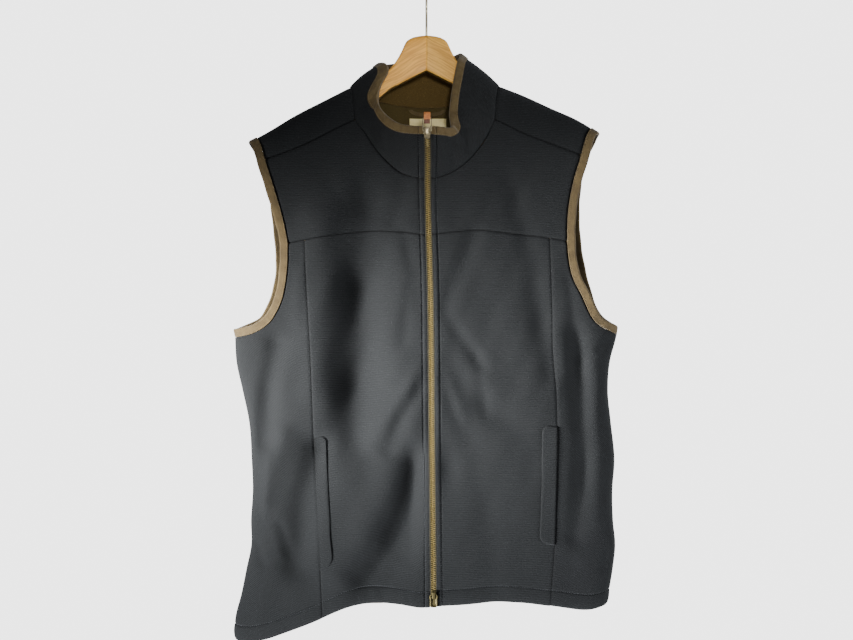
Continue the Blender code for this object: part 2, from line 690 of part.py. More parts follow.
def collar_point(line, station, share):
    """The collar's outer surface: from the neck seam to its top edge, a little rounded outward."""
    stations = np.arange(len(line), dtype=float)
    top_station = column(COLLAR_TOP, "station")
    foot = np.stack([smooth(station, stations, line[:, k]) for k in range(3)], axis=-1)
    top = np.stack([smooth(station, top_station, column(COLLAR_TOP, k)) for k in "xyz"], axis=-1)
    base = foot + (top - foot) * share[..., None]
    outward = base - np.array([COLLAR_MIDDLE_X, 0.0, 0.0])
    outward[..., 2] = 0.0
    outward /= np.linalg.norm(outward, axis=-1, keepdims=True)
    return base + outward * (COLLAR_BULGE * np.sin(math.pi * share))[..., None]


def collar_surface(line, stations, shares):
    """Points and outward normals of the collar on a grid of stations and height shares."""
    station, share = np.meshgrid(stations, shares)
    step = 0.05
    low = np.clip(share - step, 0, 1)
    high = np.clip(share + step, 0, 1)
    before = np.clip(station - step, 0, LAST_STATION)
    after = np.clip(station + step, 0, LAST_STATION)
    up = collar_point(line, station, high) - collar_point(line, station, low)
    on = collar_point(line, after, share) - collar_point(line, before, share)
    normal = np.cross(on, up)
    normal /= np.linalg.norm(normal, axis=-1, keepdims=True)
    return collar_point(line, station, share), normal


def build_collar(line, foot_normals, materials, collection):
    """Collar, its brown inner collar and the binding over its top edge."""
    stations = np.arange(LAST_STATION + 1, dtype=float)
    shares = np.linspace(COLLAR_FOOT, COLLAR_CLOTH_TOP, COLLAR_ROWS)
    points, normals = collar_surface(line, stations, shares)
    normals[0] = foot_normals
    wall("collar", [(points, normals, CLOTH)], materials["cloth"], collection)
    inset = normals[:, 1:-1] * (CLOTH + LAY_GAP)
    wall("collar_lining", [(points[:, 1:-1] - inset, normals[:, 1:-1], LINING)],
         materials["lining"], collection)
    points, normals = collar_surface(line, stations, np.linspace(BINDING_START, 1, 3))
    lift = normals * BINDING_PROUD
    wall("collar_binding", [(points + lift, normals, BINDING_PROUD + CLOTH + LAY_GAP + LINING)],
         materials["binding"], collection)


def armhole_line(surfaces, side):
    """Points and normals round an armhole: down the front, under the arm and up the back."""
    yoke = [part[:, -1] for part in surfaces["yoke", side]]
    flank = [part[1:UNDERARM_ROW + 1, -1] for part in surfaces["side", side]]
    edge = 0 if side == RIGHT else -1
    back = [part[:BACK_UPPER_ROWS, edge][::-1] for part in surfaces["back", 0]]
    strap = [part[1:-1, -1] for part in surfaces["strap", side]]
    return [np.concatenate([yoke[k], flank[k], back[k], strap[k]]) for k in range(2)]


def build_armhole_bindings(surfaces, binding, collection):
    """A folded band beyond the cloth's edge, all round each armhole."""
    top = BINDING_PROUD
    under = BINDING_PROUD - BINDING_THICK
    round_off = 1.2
    section = [(SEAM_GAP / 2, top), (BINDING_WIDTH - round_off, top), (BINDING_WIDTH, (top + under) / 2),
               (BINDING_WIDTH - round_off, under), (SEAM_GAP / 2, under)]
    for side, word in ((RIGHT, "right"), (LEFT, "left")):
        points, normals = armhole_line(surfaces, side)
        ribbon(f"armhole_binding_{word}", points, normals, section, side, True, binding, collection)


def build_welts(surfaces, cloth, collection):
    """Pocket welts: raised strips on the centre panels beside the princess seam."""
    across = np.array([0.0, 0.5, 0.75, 0.93, 1.0])
    for side, word in ((RIGHT, "right"), (LEFT, "left")):
        first = UNDERARM_ROW + ROWS_ABOVE_WELT
        rows = slice(first, first + ROWS_ON_WELT + 1)
        points, normals = (part[rows, -2:] for part in surfaces["centre", side])
        share = across[None, :, None]
        points = points[:, 1:] + (points[:, :1] - points[:, 1:]) * share
        normals = normals[:, 1:] + (normals[:, :1] - normals[:, 1:]) * share
        normals /= np.linalg.norm(normals, axis=-1, keepdims=True)
        pitch = np.linalg.norm(points[1, 0] - points[0, 0])
        bend = np.clip((across - 0.5) / 0.5, 0, 1)
        cut = (WELT_CORNER / pitch * (1 - np.sqrt(1 - bend * bend)))[:, None]
        points[0] += (points[1] - points[0]) * cut
        points[-1] += (points[-2] - points[-1]) * cut
        lift = normals * (WELT_GAP + WELT_THICK)
        wall(f"pocket_welt_{word}", [(points + lift, normals, WELT_THICK)], cloth, collection)


def zip_levels(surfaces, side, line):
    """Two columns of points and normals down a front edge, and the cloth's thickness at each level."""
    ends = [0.0, 1.0] if side == LEFT else [float(LAST_STATION), LAST_STATION - 1.0]
    collar = collar_surface(line, np.array(ends), np.linspace(ZIP_TOP, 0, COLLAR_ROWS))
    parts = [tuple(part[:-1] for part in collar)]
    parts.append(tuple(part[:-1, :2] for part in surfaces["yoke", side]))
    parts.append(tuple(part[:, :2] for part in surfaces["centre", side]))
    points, normals = (np.concatenate([part[k] for part in parts]) for k in range(2))
    walls = np.full(len(points), CLOTH)
    walls[-HEM_ROWS:] = HEM_CLOTH
    return points, normals, walls


def build_zip(surfaces, line, materials, collection):
    """Two tapes behind the front edges and the chain between them."""
    centre_lines = {}
    for side, word in ((RIGHT, "right"), (LEFT, "left")):
        points, normals, walls = zip_levels(surfaces, side, line)
        across = np.array([side, 0.0, 0.0])
        line_up = np.stack([points[:, 0] - across * (ZIP_HALF_OPENING - 0.4), points[:, 0], points[:, 1]])
        lean = np.stack([normals[:, 0], normals[:, 0], normals[:, 1]])
        depth = (walls + TAPE_GAP)[None, :, None]
        front = line_up - lean * depth
        back = line_up - lean * (depth + TAPE_THICK)
        rings = np.concatenate([front, back[::-1]]).transpose(1, 0, 2)
        loft(f"zip_tape_{word}", rings, False, materials["tape"], collection)
        centre_lines[side] = (points[:, 0] - across * ZIP_HALF_OPENING, normals[:, 0])
    points = (centre_lines[RIGHT][0] + centre_lines[LEFT][0]) / 2
    normals = centre_lines[RIGHT][1] + centre_lines[LEFT][1]
    normals /= np.linalg.norm(normals, axis=-1, keepdims=True)
    half = np.array([CHAIN_HALF_WIDTH, 0.0, 0.0])
    front = normals * CHAIN_PROUD
    back = normals * (CHAIN_PROUD - CHAIN_THICK)
    rings = np.stack([points - half + front, points + half + front, points + half + back,
                      points - half + back], axis=1)
    loft("zip_chain", rings, False, materials["chain"], collection)
    return points, normals


def prism(name, outline, axis, start, end, material, collection):
    """An outline of two coordinates carried along the third axis."""
    rings = []
    for at in (start, end):
        ring = np.insert(np.asarray(outline, dtype=float), axis, at, axis=1)
        rings.append(ring)
    return loft(name, rings, False, material, collection)


def union(pieces, name):
    """Joins solids that meet into the first of them, which takes the name."""
    keeper = pieces[0]
    for other in pieces[1:]:
        modifier = keeper.modifiers.new("join", "BOOLEAN")
        modifier.operation = "UNION"
        modifier.solver = "EXACT"
        modifier.object = other
    bpy.context.view_layer.update()
    shape = bpy.data.meshes.new_from_object(keeper.evaluated_get(bpy.context.evaluated_depsgraph_get()))
    keeper.modifiers.clear()
    keeper.data = shape
    for other in pieces[1:]:
        bpy.data.objects.remove(other, do_unlink=True)
    keeper.name = name
    shape.name = name
    return keeper


# Slider sizes in millimetres: x across, z down the zip, y out from the chain's face
Slider = namedtuple("Slider", "z_top z_bottom half_top half_waist half_bottom lift")
TOP_SLIDER = Slider(-201, -217, 5.6, 4.4, 3.6, 1.1)
BOTTOM_SLIDER = Slider(-844, -864, 3.8, 4.6, 5.8, 0.35)
PLATE = 2.2
BRIDGE_HALF_WIDTH = 1.5
BRIDGE_HIGH = 3.6
BRIDGE_STRIP = 1.1
CHAIN_CLEAR = 0.32
POST_HALF_WIDTH = 2.4
POST_HIGH = 5.5
POST_RAISED = 0.4
BAR_RADIUS = 0.75
BAR_UP = 1.25


def slider_body(name, sizes, face, chain_y, bar_z, bridge_span, metal, collection):
    """Front plate with a bridge for the pull's bar, and a post to the chain where the plate lies off it."""
    x = float(zip_x((sizes.z_top + sizes.z_bottom) / 2))
    waist = (sizes.z_top + sizes.z_bottom) / 2
    outline = [(x - sizes.half_top, sizes.z_top), (x + sizes.half_top, sizes.z_top),
               (x + sizes.half_waist, waist), (x + sizes.half_bottom, sizes.z_bottom),
               (x - sizes.half_bottom, sizes.z_bottom), (x - sizes.half_waist, waist)]
    plate = prism(name, outline, 1, face, face - PLATE, metal, collection)
    top = bar_z + bridge_span / 2
    bottom = bar_z - bridge_span / 2
    front = face - PLATE
    foot = front + 0.8
    arch = [(foot, top), (front - BRIDGE_HIGH + 1, top), (front - BRIDGE_HIGH, top - 1.2),
            (front - BRIDGE_HIGH, bottom + 1.2), (front - BRIDGE_HIGH + 1, bottom), (foot, bottom),
            (foot, bottom + BRIDGE_STRIP), (front - BRIDGE_HIGH + BRIDGE_STRIP, bottom + BRIDGE_STRIP + 0.4),
            (front - BRIDGE_HIGH + BRIDGE_STRIP, top - BRIDGE_STRIP - 0.4), (foot, top - BRIDGE_STRIP)]
    bridge = prism(name + "_bridge", arch, 0, x - BRIDGE_HALF_WIDTH, x + BRIDGE_HALF_WIDTH, metal, collection)
    pieces = [plate, bridge]
    if chain_y - face > 2 * CHAIN_CLEAR:
        low = sizes.z_bottom + POST_RAISED
        seat = [(x - POST_HALF_WIDTH, low + POST_HIGH), (x + POST_HALF_WIDTH, low + POST_HIGH),
                (x + POST_HALF_WIDTH, low), (x - POST_HALF_WIDTH, low)]
        pieces.append(prism(name + "_post", seat, 1, chain_y - CHAIN_CLEAR, face - PLATE / 2,
                            metal, collection))
    union(pieces, name)
    return x, front - BAR_UP


def wire_ring(name, x, y, z_bar, half_width, height, radius, direction, metal, collection):
    """A closed wire loop: a straight bar at the pivot and a round far end, pointing up or down."""
    corner = 2.2
    turns = 5
    path = []
    for cx, cz, start in ((half_width - corner, corner, -90), (half_width - corner, height - corner, 0),
                          (corner - half_width, height - corner, 90), (corner - half_width, corner, 180)):
        for step in range(turns):
            turn = math.radians(start + 90 * step / (turns - 1))
            path.append((cx + corner * math.cos(turn), cz + corner * math.sin(turn)))
    rings = []
    for k, (px, pz) in enumerate(path):
        before = np.array(path[k - 1])
        after = np.array(path[(k + 1) % len(path)])
        run = after - before
        out = np.array([run[1], -run[0]]) / np.linalg.norm(run)
        ring = []
        for step in range(8):
            turn = math.tau * step / 8
            shift = out * radius * math.cos(turn)
            ring.append((x + px + shift[0], y + radius * math.sin(turn), z_bar + direction * (pz + shift[1])))
        rings.append(ring)
    return loft(name, rings, True, metal, collection)


def place_on_axis(piece, pivot):
    """Moves a piece's origin to a point on its joint's axis without moving its shape."""
    offset = np.array(pivot) * MM
    for vertex in piece.data.vertices:
        vertex.co = [vertex.co[k] - offset[k] for k in range(3)]
    piece.location = offset.tolist()


PULL_LOOP_HALF = 5.9
PULL_LOOP_HIGH = 19.0
TAB_HALF_WIDTH = 4.5
TAB_LAYER = 1.3
TAB_TAIL = 10.5
TOP_BAR_Z = -207.5
BOTTOM_BAR_Z = -848.5
BOTTOM_PULL_LONG = 17.0


def build_top_pull(x, y, materials, collection):
    """Wire loop pointing up, with a leather tab folded over its far bar."""
    loop = wire_ring("top_pull_loop", x, y, TOP_BAR_Z, PULL_LOOP_HALF, PULL_LOOP_HIGH, BAR_RADIUS, 1,
                     materials["metal"], collection)
    bar_z = TOP_BAR_Z + PULL_LOOP_HIGH
    inner = BAR_RADIUS + LAY_GAP
    outer = inner + TAB_LAYER
    fold = [(y - outer * math.sin(math.radians(a)), bar_z + outer * math.cos(math.radians(a)))
            for a in range(150, -91, -30)]
    lining = [(y - inner * math.sin(math.radians(a)), bar_z + inner * math.cos(math.radians(a)))
              for a in range(-90, 151, 30)]
    tail = [(y + outer, bar_z - TAB_TAIL), (y + inner, bar_z - TAB_TAIL)]
    tab = prism("top_pull_tab", fold + tail + lining, 0, x - TAB_HALF_WIDTH, x + TAB_HALF_WIDTH,
                materials["leather"], collection)
    for piece in (loop, tab):
        place_on_axis(piece, (x, y, TOP_BAR_Z))


def build_bottom_pull(x, y, materials, collection):
    """Small metal pull hanging from the bottom slider."""
    loop = wire_ring("bottom_pull", x, y, BOTTOM_BAR_Z, 4.4, BOTTOM_PULL_LONG, BAR_RADIUS, -1,
                     materials["metal"], collection)
    place_on_axis(loop, (x, y, BOTTOM_BAR_Z))


def build_sliders(chain, materials, collection):
    """Both sliders with their pulls."""
    points, normals = chain
    order = np.argsort(points[:, 2])
    for name, sizes, bar_z, span, pull in (
            ("top_slider", TOP_SLIDER, TOP_BAR_Z, 8.0, build_top_pull),
            ("bottom_slider", BOTTOM_SLIDER, BOTTOM_BAR_Z, 8.0, build_bottom_pull)):
        front = points[:, 1] + normals[:, 1] * CHAIN_PROUD
        nearest = []
        for top in (sizes.z_top, sizes.z_bottom + POST_HIGH):
            heights = np.linspace(sizes.z_bottom, top, 5)
            nearest.append(float(np.min(np.interp(heights, points[order, 2], front[order]))))
        face = nearest[0] - sizes.lift
        x, y = slider_body(name, sizes, face, nearest[1], bar_z, span, materials["metal"], collection)
        pull(x, y, materials, collection)


def build_neck_label(surfaces, line, materials, collection):
    """Blank label and hanging loop inside the back neck."""
    label_x = np.linspace(-25, 29, 5)
    label_z = np.linspace(-173, -213, 4)
    grid = np.stack(np.meshgrid(label_x, label_z), axis=-1)
    points, normals = surface_from_heights(to_angles(grid), BACK)
    inset = normals * (CLOTH + LABEL_GAP)
    wall("neck_label", [(points - inset, normals, 0.8)], materials["label"], collection)
    turn = np.linspace(0, math.pi, 11)
    loop_x = 1 - 25 * np.cos(turn)
    loop_z = -160 - 7.5 * np.sin(turn)
    points, normals = surface_from_heights(to_angles(np.stack([loop_x, loop_z], axis=-1)), BACK)
    top = -(CLOTH + LABEL_GAP)
    section = [(-2.5, top), (2.5, top), (2.5, top - 1.2), (-2.5, top - 1.2)]
    ribbon("hanging_loop", points, normals, section, 1, False, materials["binding"], collection)


Wood = namedtuple("Wood", "x top bottom half")
HANGER_HEAD = [Wood(0.2, -60, -111, 7), Wood(12, -61.5, -116, 7), Wood(22, -64.5, -121, 7),
               Wood(30, -71, -125, 7), Wood(36, -84, -128, 7), Wood(42, -95, -131, 7),
               Wood(50, -106, -135.5, 7)]
ARM_START = 72.0
ARM_REACH = 205.0
ARM_HEIGHT = 30.0
ARM_TAPER = 10.0
SHOULDER_SLOPE = 0.57
NECK_HIGH_X = 134.0
NECK_REACH = 22.0
ARM_STATIONS = 9
RIDGE_TO_WOOD = 4.3
NECK_TO_WOOD = 8.0


def arm_sections(side):
    """Wood sections from the mitre to the arm's end, just under the cloth's ridge."""
    sections = list(HANGER_HEAD)
    for x in np.linspace(ARM_START, ARM_REACH, ARM_STATIONS):
        near_neck = float(smoothstep((NECK_HIGH_X - x) / NECK_REACH))
        drop = RIDGE_TO_WOOD + (NECK_TO_WOOD - RIDGE_TO_WOOD) * near_neck
        head = HANGER_HEAD[-1]
        top = min(float(ridge_z(side * x)) - drop, head.top - SHOULDER_SLOPE * (x - head.x))
        height = ARM_HEIGHT - ARM_TAPER * (x - ARM_START) / (ARM_REACH - ARM_START)
        sections.append(Wood(x, top, top - height, HANGER_HALF_THICK))
    last = sections[-1]
    sections.append(Wood(last.x + 4, last.top - 4.5, last.bottom + 3, HANGER_HALF_THICK - 2))
    return sections


def build_hanger(materials, collection, cutters):
    """Two arms mitred at the middle and the wire hook in its socket."""
    for side, word in ((RIGHT, "right"), (LEFT, "left")):
        rings = []
        for wood in arm_sections(side):
            y = float(ridge_y(np.float64(wood.x)))
            round_off = 4.0
            flat = wood.half - round_off
            ring = [(side * wood.x, y + dy, z) for dy, z in (
                (-flat, wood.top), (flat, wood.top), (wood.half - 1, wood.top - 1.6),
                (wood.half, wood.top - round_off - 1), (wood.half, wood.bottom + 2),
                (wood.half - 2, wood.bottom), (2 - wood.half, wood.bottom), (-wood.half, wood.bottom + 2),
                (-wood.half, wood.top - round_off - 1), (1 - wood.half, wood.top - 1.6))]
            rings.append(ring)
        arm = loft(f"hanger_arm_{word}", rings, False, materials["wood"], collection)
        bpy.ops.mesh.primitive_cylinder_add(vertices=24, radius=(HOOK_WIRE / 2 + LAY_GAP) * MM,
                                            depth=2 * SOCKET_DEPTH * MM, location=(0, 0, -60 * MM))
        cutter = bpy.context.object
        cutter.name = f"socket_{word}"
        for home in cutter.users_collection:
            home.objects.unlink(cutter)
        cutters.objects.link(cutter)
        cutter.hide_render = True
        cutter.display_type = "WIRE"
        socket = arm.modifiers.new("socket", "BOOLEAN")
        socket.operation = "DIFFERENCE"
        socket.object = cutter
    build_hook(materials["metal"], collection)


def hook_path():
    """Centre line of the hook: shank, swing out, then round the crown to its tip."""
    crown_z = HOOK_WIRE / 2 - HOOK_RADIUS
    shank = [(0.0, z) for z in (-60 - SOCKET_DEPTH + LAY_GAP, -60.0, -52.0, -47.0)]
    swing = [(7.0, -42.5), (14.5, -37.5), (19.5, -30.5)]
    turns = [(HOOK_RADIUS * math.cos(math.radians(a)), crown_z + HOOK_RADIUS * math.sin(math.radians(a)))
             for a in range(-15, 196, 15)]
    tip = [(-HOOK_RADIUS - 0.6, crown_z - 12.0)]
    return shank + swing + turns + tip


def build_hook(metal, collection):
    """Bent wire hook, opening to the front."""
    curve = bpy.data.curves.new("hanger_hook", "CURVE")
    curve.dimensions = "3D"
    curve.bevel_depth = HOOK_WIRE / 2 * MM
    curve.bevel_resolution = 2
    curve.use_fill_caps = True
    path = hook_path()
    line = curve.splines.new("POLY")
    line.points.add(len(path) - 1)
    for point, (y, z) in zip(line.points, path):
        point.co = (0.0, y * MM, z * MM, 1.0)
    curve.materials.append(metal)
    collection.objects.link(bpy.data.objects.new("hanger_hook", curve))


def main():
    """Builds the whole part."""
    clear_scene()
    collection = bpy.data.collections.new("gilet_on_hanger")
    cutters = bpy.data.collections.new("cutters")
    for group in (collection, cutters):
        bpy.context.scene.collection.children.link(group)
    materials = {
        "cloth": make_material("navy_fleece", (0.035, 0.038, 0.042), 0.95),
        "lining": make_material("brown_fleece", (0.045, 0.024, 0.007), 0.95),
        "binding": make_material("olive_binding", (0.16, 0.11, 0.05), 0.85),
        "tape": make_material("zip_tape", (0.03, 0.03, 0.03), 0.9),
        "chain": make_material("moulded_teeth", (0.42, 0.32, 0.15), 0.45),
        "metal": make_material("antique_metal", (0.4, 0.35, 0.25), 0.35, 1.0),
        "leather": make_material("tan_leather", (0.5, 0.17, 0.06), 0.6),
        "label": make_material("cream_label", (0.58, 0.5, 0.28), 0.8),
        "wood": make_material("pale_wood", (0.55, 0.33, 0.12), 0.45),
    }
    surfaces = garment_surfaces()
    line = neck_line(surfaces, 0)
    stations = np.arange(LAST_STATION + 1, dtype=float)
    foot_normals = share_neck_normals(surfaces, collar_surface(line, stations, np.zeros(1))[1][0])
    build_panels(surfaces, materials["cloth"], collection)
    build_collar(line, foot_normals, materials, collection)
    build_armhole_bindings(surfaces, materials["binding"], collection)
    build_welts(surfaces, materials["cloth"], collection)
    chain = build_zip(surfaces, line, materials, collection)
    build_sliders(chain, materials, collection)
    build_neck_label(surfaces, line, materials, collection)
    build_hanger(materials, collection, cutters)


main()
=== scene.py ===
"""Looks of a sleeveless zip-front fleece gilet hanging on a mitred wooden coat hanger.

Tables and sizes are millimetres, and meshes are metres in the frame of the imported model: +Z up, the
garment's front faces -Y, +X is the wearer's left, and the origin is the inside of the hook's crown.
"""

import json
import logging
import math
from dataclasses import dataclass, field
from enum import Enum
from typing import NamedTuple, Sequence

import bpy
import numpy as np
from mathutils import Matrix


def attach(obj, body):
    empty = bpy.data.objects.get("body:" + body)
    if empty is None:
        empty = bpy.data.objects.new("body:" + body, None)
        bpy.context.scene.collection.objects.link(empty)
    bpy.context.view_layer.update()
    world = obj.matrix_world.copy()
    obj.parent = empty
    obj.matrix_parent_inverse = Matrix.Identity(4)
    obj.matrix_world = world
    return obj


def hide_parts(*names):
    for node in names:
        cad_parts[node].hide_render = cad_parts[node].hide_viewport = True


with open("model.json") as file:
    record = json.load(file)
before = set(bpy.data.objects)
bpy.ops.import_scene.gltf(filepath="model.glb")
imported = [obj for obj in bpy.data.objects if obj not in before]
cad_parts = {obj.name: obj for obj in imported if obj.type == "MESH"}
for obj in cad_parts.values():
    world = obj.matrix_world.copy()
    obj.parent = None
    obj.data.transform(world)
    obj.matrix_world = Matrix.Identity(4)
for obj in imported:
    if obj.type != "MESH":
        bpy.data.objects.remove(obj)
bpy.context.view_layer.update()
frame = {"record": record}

LOG = logging.getLogger("gilet")
MM = 0.001
Array = np.ndarray
Mesh = bpy.types.Mesh
Piece = bpy.types.Object
Material = bpy.types.Material
Socket = bpy.types.NodeSocket


class Face(Enum):
    """The two faces of the garment."""

    FRONT = 1
    BACK = -1


class Side(Enum):
    """The wearer's sides, as the sign of x."""

    RIGHT = -1
    LEFT = 1

    @property
    def word(self) -> str:
        """The side's name, as the nodes use it."""
        return self.name.lower()


class Spot(NamedTuple):
    """A point of an outline seen from the front."""

    x: float
    z: float


class Width(NamedTuple):
    """The garment's two side edges at a height."""

    z: float
    right: float
    left: float


class Level(NamedTuple):
    """x of an upright line at a height."""

    z: float
    x: float


class Ring(NamedTuple):
    """A point of the collar's top edge, by its station along the neck seam."""

    station: float
    x: float
    y: float
    z: float


class Fold(NamedTuple):
    """A soft trough, or a ridge where the depth is less than nothing, along a path of x and z."""

    face: Face
    width: float
    depth: float
    path: Sequence[tuple[float, float]]


RIDGE = [
    Spot(-320, -240), Spot(-253, -217), Spot(-242, -212), Spot(-182, -176), Spot(-139, -153),
    Spot(-110, -137.5), Spot(-60, -111), Spot(-25, -93), Spot(0, -87), Spot(25, -94), Spot(60, -112),
    Spot(104, -135), Spot(134, -147.5), Spot(178, -168.5), Spot(213, -185), Spot(236, -199),
    Spot(250, -208), Spot(320, -238),
]
SIDES = [
    Width(-940, -275, 254), Width(-893, -274, 257), Width(-864, -266.5, 261),
    Width(-825, -258.5, 267.5), Width(-790, -251.5, 271), Width(-757, -252, 268),
    Width(-713, -249.5, 267), Width(-670, -251, 270), Width(-613, -255, 264.5),
    Width(-570, -264, 260.5), Width(-528, -273, 263.5), Width(-491, -275, 273),
    Width(-420, -276, 276), Width(-80, -276, 276),
]
ZIP_LINE = [Level(-900, 10), Level(-843, 9.7), Level(-620, 7.4), Level(-407, 5), Level(-324, 2.5),
            Level(-220, 1), Level(-190, 0.6)]
PRINCESS = {
    Side.RIGHT: [Level(-930, -145), Level(-881, -146), Level(-818, -149), Level(-726, -154),
                 Level(-635, -159), Level(-577, -160.5), Level(-511, -163), Level(-431, -168),
                 Level(-362, -171.5)],
    Side.LEFT: [Level(-930, 172), Level(-867, 173), Level(-782, 179), Level(-700, 181.5),
                Level(-617, 183), Level(-563, 181.5), Level(-511, 177), Level(-456, 176),
                Level(-354, 173)],
}
FORWARD_SEAM = [Spot(-227, -243), Spot(-194, -231.5), Spot(-161, -217), Spot(-132, -202),
                Spot(-100, -187), Spot(96, -187), Spot(135.5, -206), Spot(177, -222), Spot(217, -237)]
NECK_SEAM = [Spot(-100, -187), Spot(-86, -207), Spot(-71, -229), Spot(-53, -249), Spot(-35, -263),
             Spot(-10, -270), Spot(16, -269.5), Spot(32, -264), Spot(53, -251), Spot(71, -232),
             Spot(86, -210), Spot(96, -187)]
YOKE_SEAM = [Spot(-195, -361), Spot(-171.5, -357), Spot(-130, -350), Spot(-73, -344),
             Spot(-30, -346.5), Spot(0, -350), Spot(30, -347), Spot(73, -343.5), Spot(120, -348),
             Spot(173, -354), Spot(198, -358)]
ARMHOLE_FRONT = {
    Side.RIGHT: [Spot(-195, -361), Spot(-196, -400), Spot(-208, -452), Spot(-221, -472.5),
                 Spot(-243, -487), Spot(-275, -494)],
    Side.LEFT: [Spot(198, -358), Spot(200, -382), Spot(206, -410), Spot(218, -433),
                Spot(240, -473), Spot(274, -491)],
}
ARMHOLE_YOKE = {
    Side.RIGHT: [Spot(-227, -243), Spot(-214, -285), Spot(-205, -316), Spot(-198, -345),
                 Spot(-195, -361)],
    Side.LEFT: [Spot(217, -237), Spot(206, -276.5), Spot(199.5, -316), Spot(198, -340),
                Spot(198, -358)],
}
ARMHOLE_BACK = {
    Side.RIGHT: [Spot(-242, -212), Spot(-222, -262), Spot(-216, -306), Spot(-211, -353),
                 Spot(-210, -404), Spot(-218, -440), Spot(-236, -474), Spot(-275, -494)],
    Side.LEFT: [Spot(236, -199), Spot(219, -245), Spot(213, -290), Spot(214, -349), Spot(220, -390),
                Spot(230, -430), Spot(245, -467), Spot(274, -491)],
}
BACK_NECK = [Spot(-110, -137.5), Spot(-96, -141), Spot(-74, -147), Spot(-45, -152), Spot(0, -155),
             Spot(45, -151), Spot(70, -145), Spot(91, -139), Spot(104, -135)]
HEM_FRONT = [Spot(-280, -925), Spot(-258, -925), Spot(-231, -920), Spot(-199, -908), Spot(-148, -886),
             Spot(-111, -870), Spot(-79, -863), Spot(-41, -863.5), Spot(-7, -868), Spot(17, -866),
             Spot(53, -864), Spot(101, -861), Spot(133, -863), Spot(178, -870), Spot(231, -878),
             Spot(258, -875), Spot(280, -874)]
HEM_BACK = [Spot(-280, -925), Spot(-258, -924), Spot(-180, -903), Spot(-90, -889), Spot(0, -885),
            Spot(110, -883), Spot(200, -880), Spot(258, -875), Spot(280, -874)]
COLLAR_TOP = [
    Ring(0, 5.6, -59.5, -198.5), Ring(2, 20, -58.5, -199.5), Ring(3.5, 34, -55.5, -200),
    Ring(4, 35.5, -52, -197), Ring(5, 31.5, -42, -180), Ring(6, 34, -33, -152.5), Ring(7, 39, -25, -124),
    Ring(8, 44, -15, -99),
    Ring(9, 48.5, 0, -87), Ring(12, 34, 38, -83), Ring(15, -6, 50, -86), Ring(18, -48, 39, -92),
    Ring(20, -66, 14, -98), Ring(21, -66, -4, -99.5), Ring(22, -57, -18, -104), Ring(23, -54, -26, -117),
    Ring(24, -64, -32, -137), Ring(25, -69.5, -38, -155), Ring(26, -65, -45, -171), Ring(27, -54, -51, -184.5),
    Ring(28, -38, -56, -194.5), Ring(29, -20, -58.5, -198), Ring(30, -4.4, -59.5, -198.5),
]
LAST_STATION = 30

MAIN_FOLDS = [
    Fold(Face.FRONT, 40, 14, [(-84, -322), (-88, -410), (-93, -500), (-98, -570), (-103, -630)]),
    Fold(Face.FRONT, 34, 8, [(-89, -425), (-94, -520), (-101, -625)]),
    Fold(Face.FRONT, 30, 5, [(-84, -258), (-83, -296)]),
    Fold(Face.FRONT, 27, -7, [(-148, -330), (-151, -420), (-152, -500), (-152, -560)]),
    Fold(Face.FRONT, 36, 22, [(-4, -678), (-24, -734), (-50, -792), (-78, -832)]),
    Fold(Face.FRONT, 24, 5, [(-76, -822), (-104, -850), (-136, -872)]),
    Fold(Face.FRONT, 22, -6, [(-4, -594), (-40, -675), (-75, -754), (-118, -825)]),
    Fold(Face.FRONT, 12, -4, [(-6, -536), (-40, -585), (-76, -642)]),
    Fold(Face.FRONT, 11, 4, [(-6, -566), (-34, -604), (-52, -650)]),
    Fold(Face.FRONT, 16, 8, [(-212, -505), (-222, -558), (-230, -640)]),
    Fold(Face.FRONT, 14, -5.5, [(-204, -630), (-226, -722)]),
    Fold(Face.FRONT, 23, 12, [(-154, -650), (-160, -690), (-168, -735), (-177, -780), (-183, -812)]),
    Fold(Face.FRONT, 14, 7, [(212, -485), (219, -560), (221, -640), (219, -710), (208, -772)]),
    Fold(Face.FRONT, 15, 4, [(205, -495), (208, -560), (210, -610)]),
    Fold(Face.FRONT, 15, -2, [(238, -540), (242, -640), (240, -750)]),
    Fold(Face.FRONT, 17, 5, [(118, -270), (128, -312), (150, -392), (162, -476), (176, -540)]),
    Fold(Face.FRONT, 16, 4, [(-30, -262), (-46, -330)]),
    Fold(Face.FRONT, 13, 2.6, [(66, -350), (50, -396), (26, -446)]),
    Fold(Face.FRONT, 10, 2.4, [(22, -456), (50, -496), (78, -533)]),
    Fold(Face.FRONT, 11, 3, [(-30, -350), (-16, -400), (-6, -452)]),
    Fold(Face.FRONT, 20, 3.5, [(30, -540), (70, -580), (112, -612)]),
    Fold(Face.FRONT, 14, 3, [(18, -560), (46, -610)]),
    Fold(Face.FRONT, 18, 3.5, [(60, -640), (84, -740), (96, -850)]),
    Fold(Face.BACK, 20, 8, [(-150, -300), (-120, -470), (-135, -660)]),
    Fold(Face.BACK, 22, 9, [(150, -280), (128, -440), (140, -610), (120, -800)]),
    Fold(Face.BACK, 24, -6, [(-20, -330), (-8, -560), (-30, -800)]),
    Fold(Face.BACK, 18, 8, [(-205, -540), (-170, -700), (-190, -880)]),
    Fold(Face.BACK, 18, 7, [(214, -520), (188, -690), (205, -850)]),
    Fold(Face.BACK, 20, 8, [(60, -620), (44, -760), (66, -870)]),
    Fold(Face.BACK, 16, 6, [(-70, -700), (-62, -870)]),
]
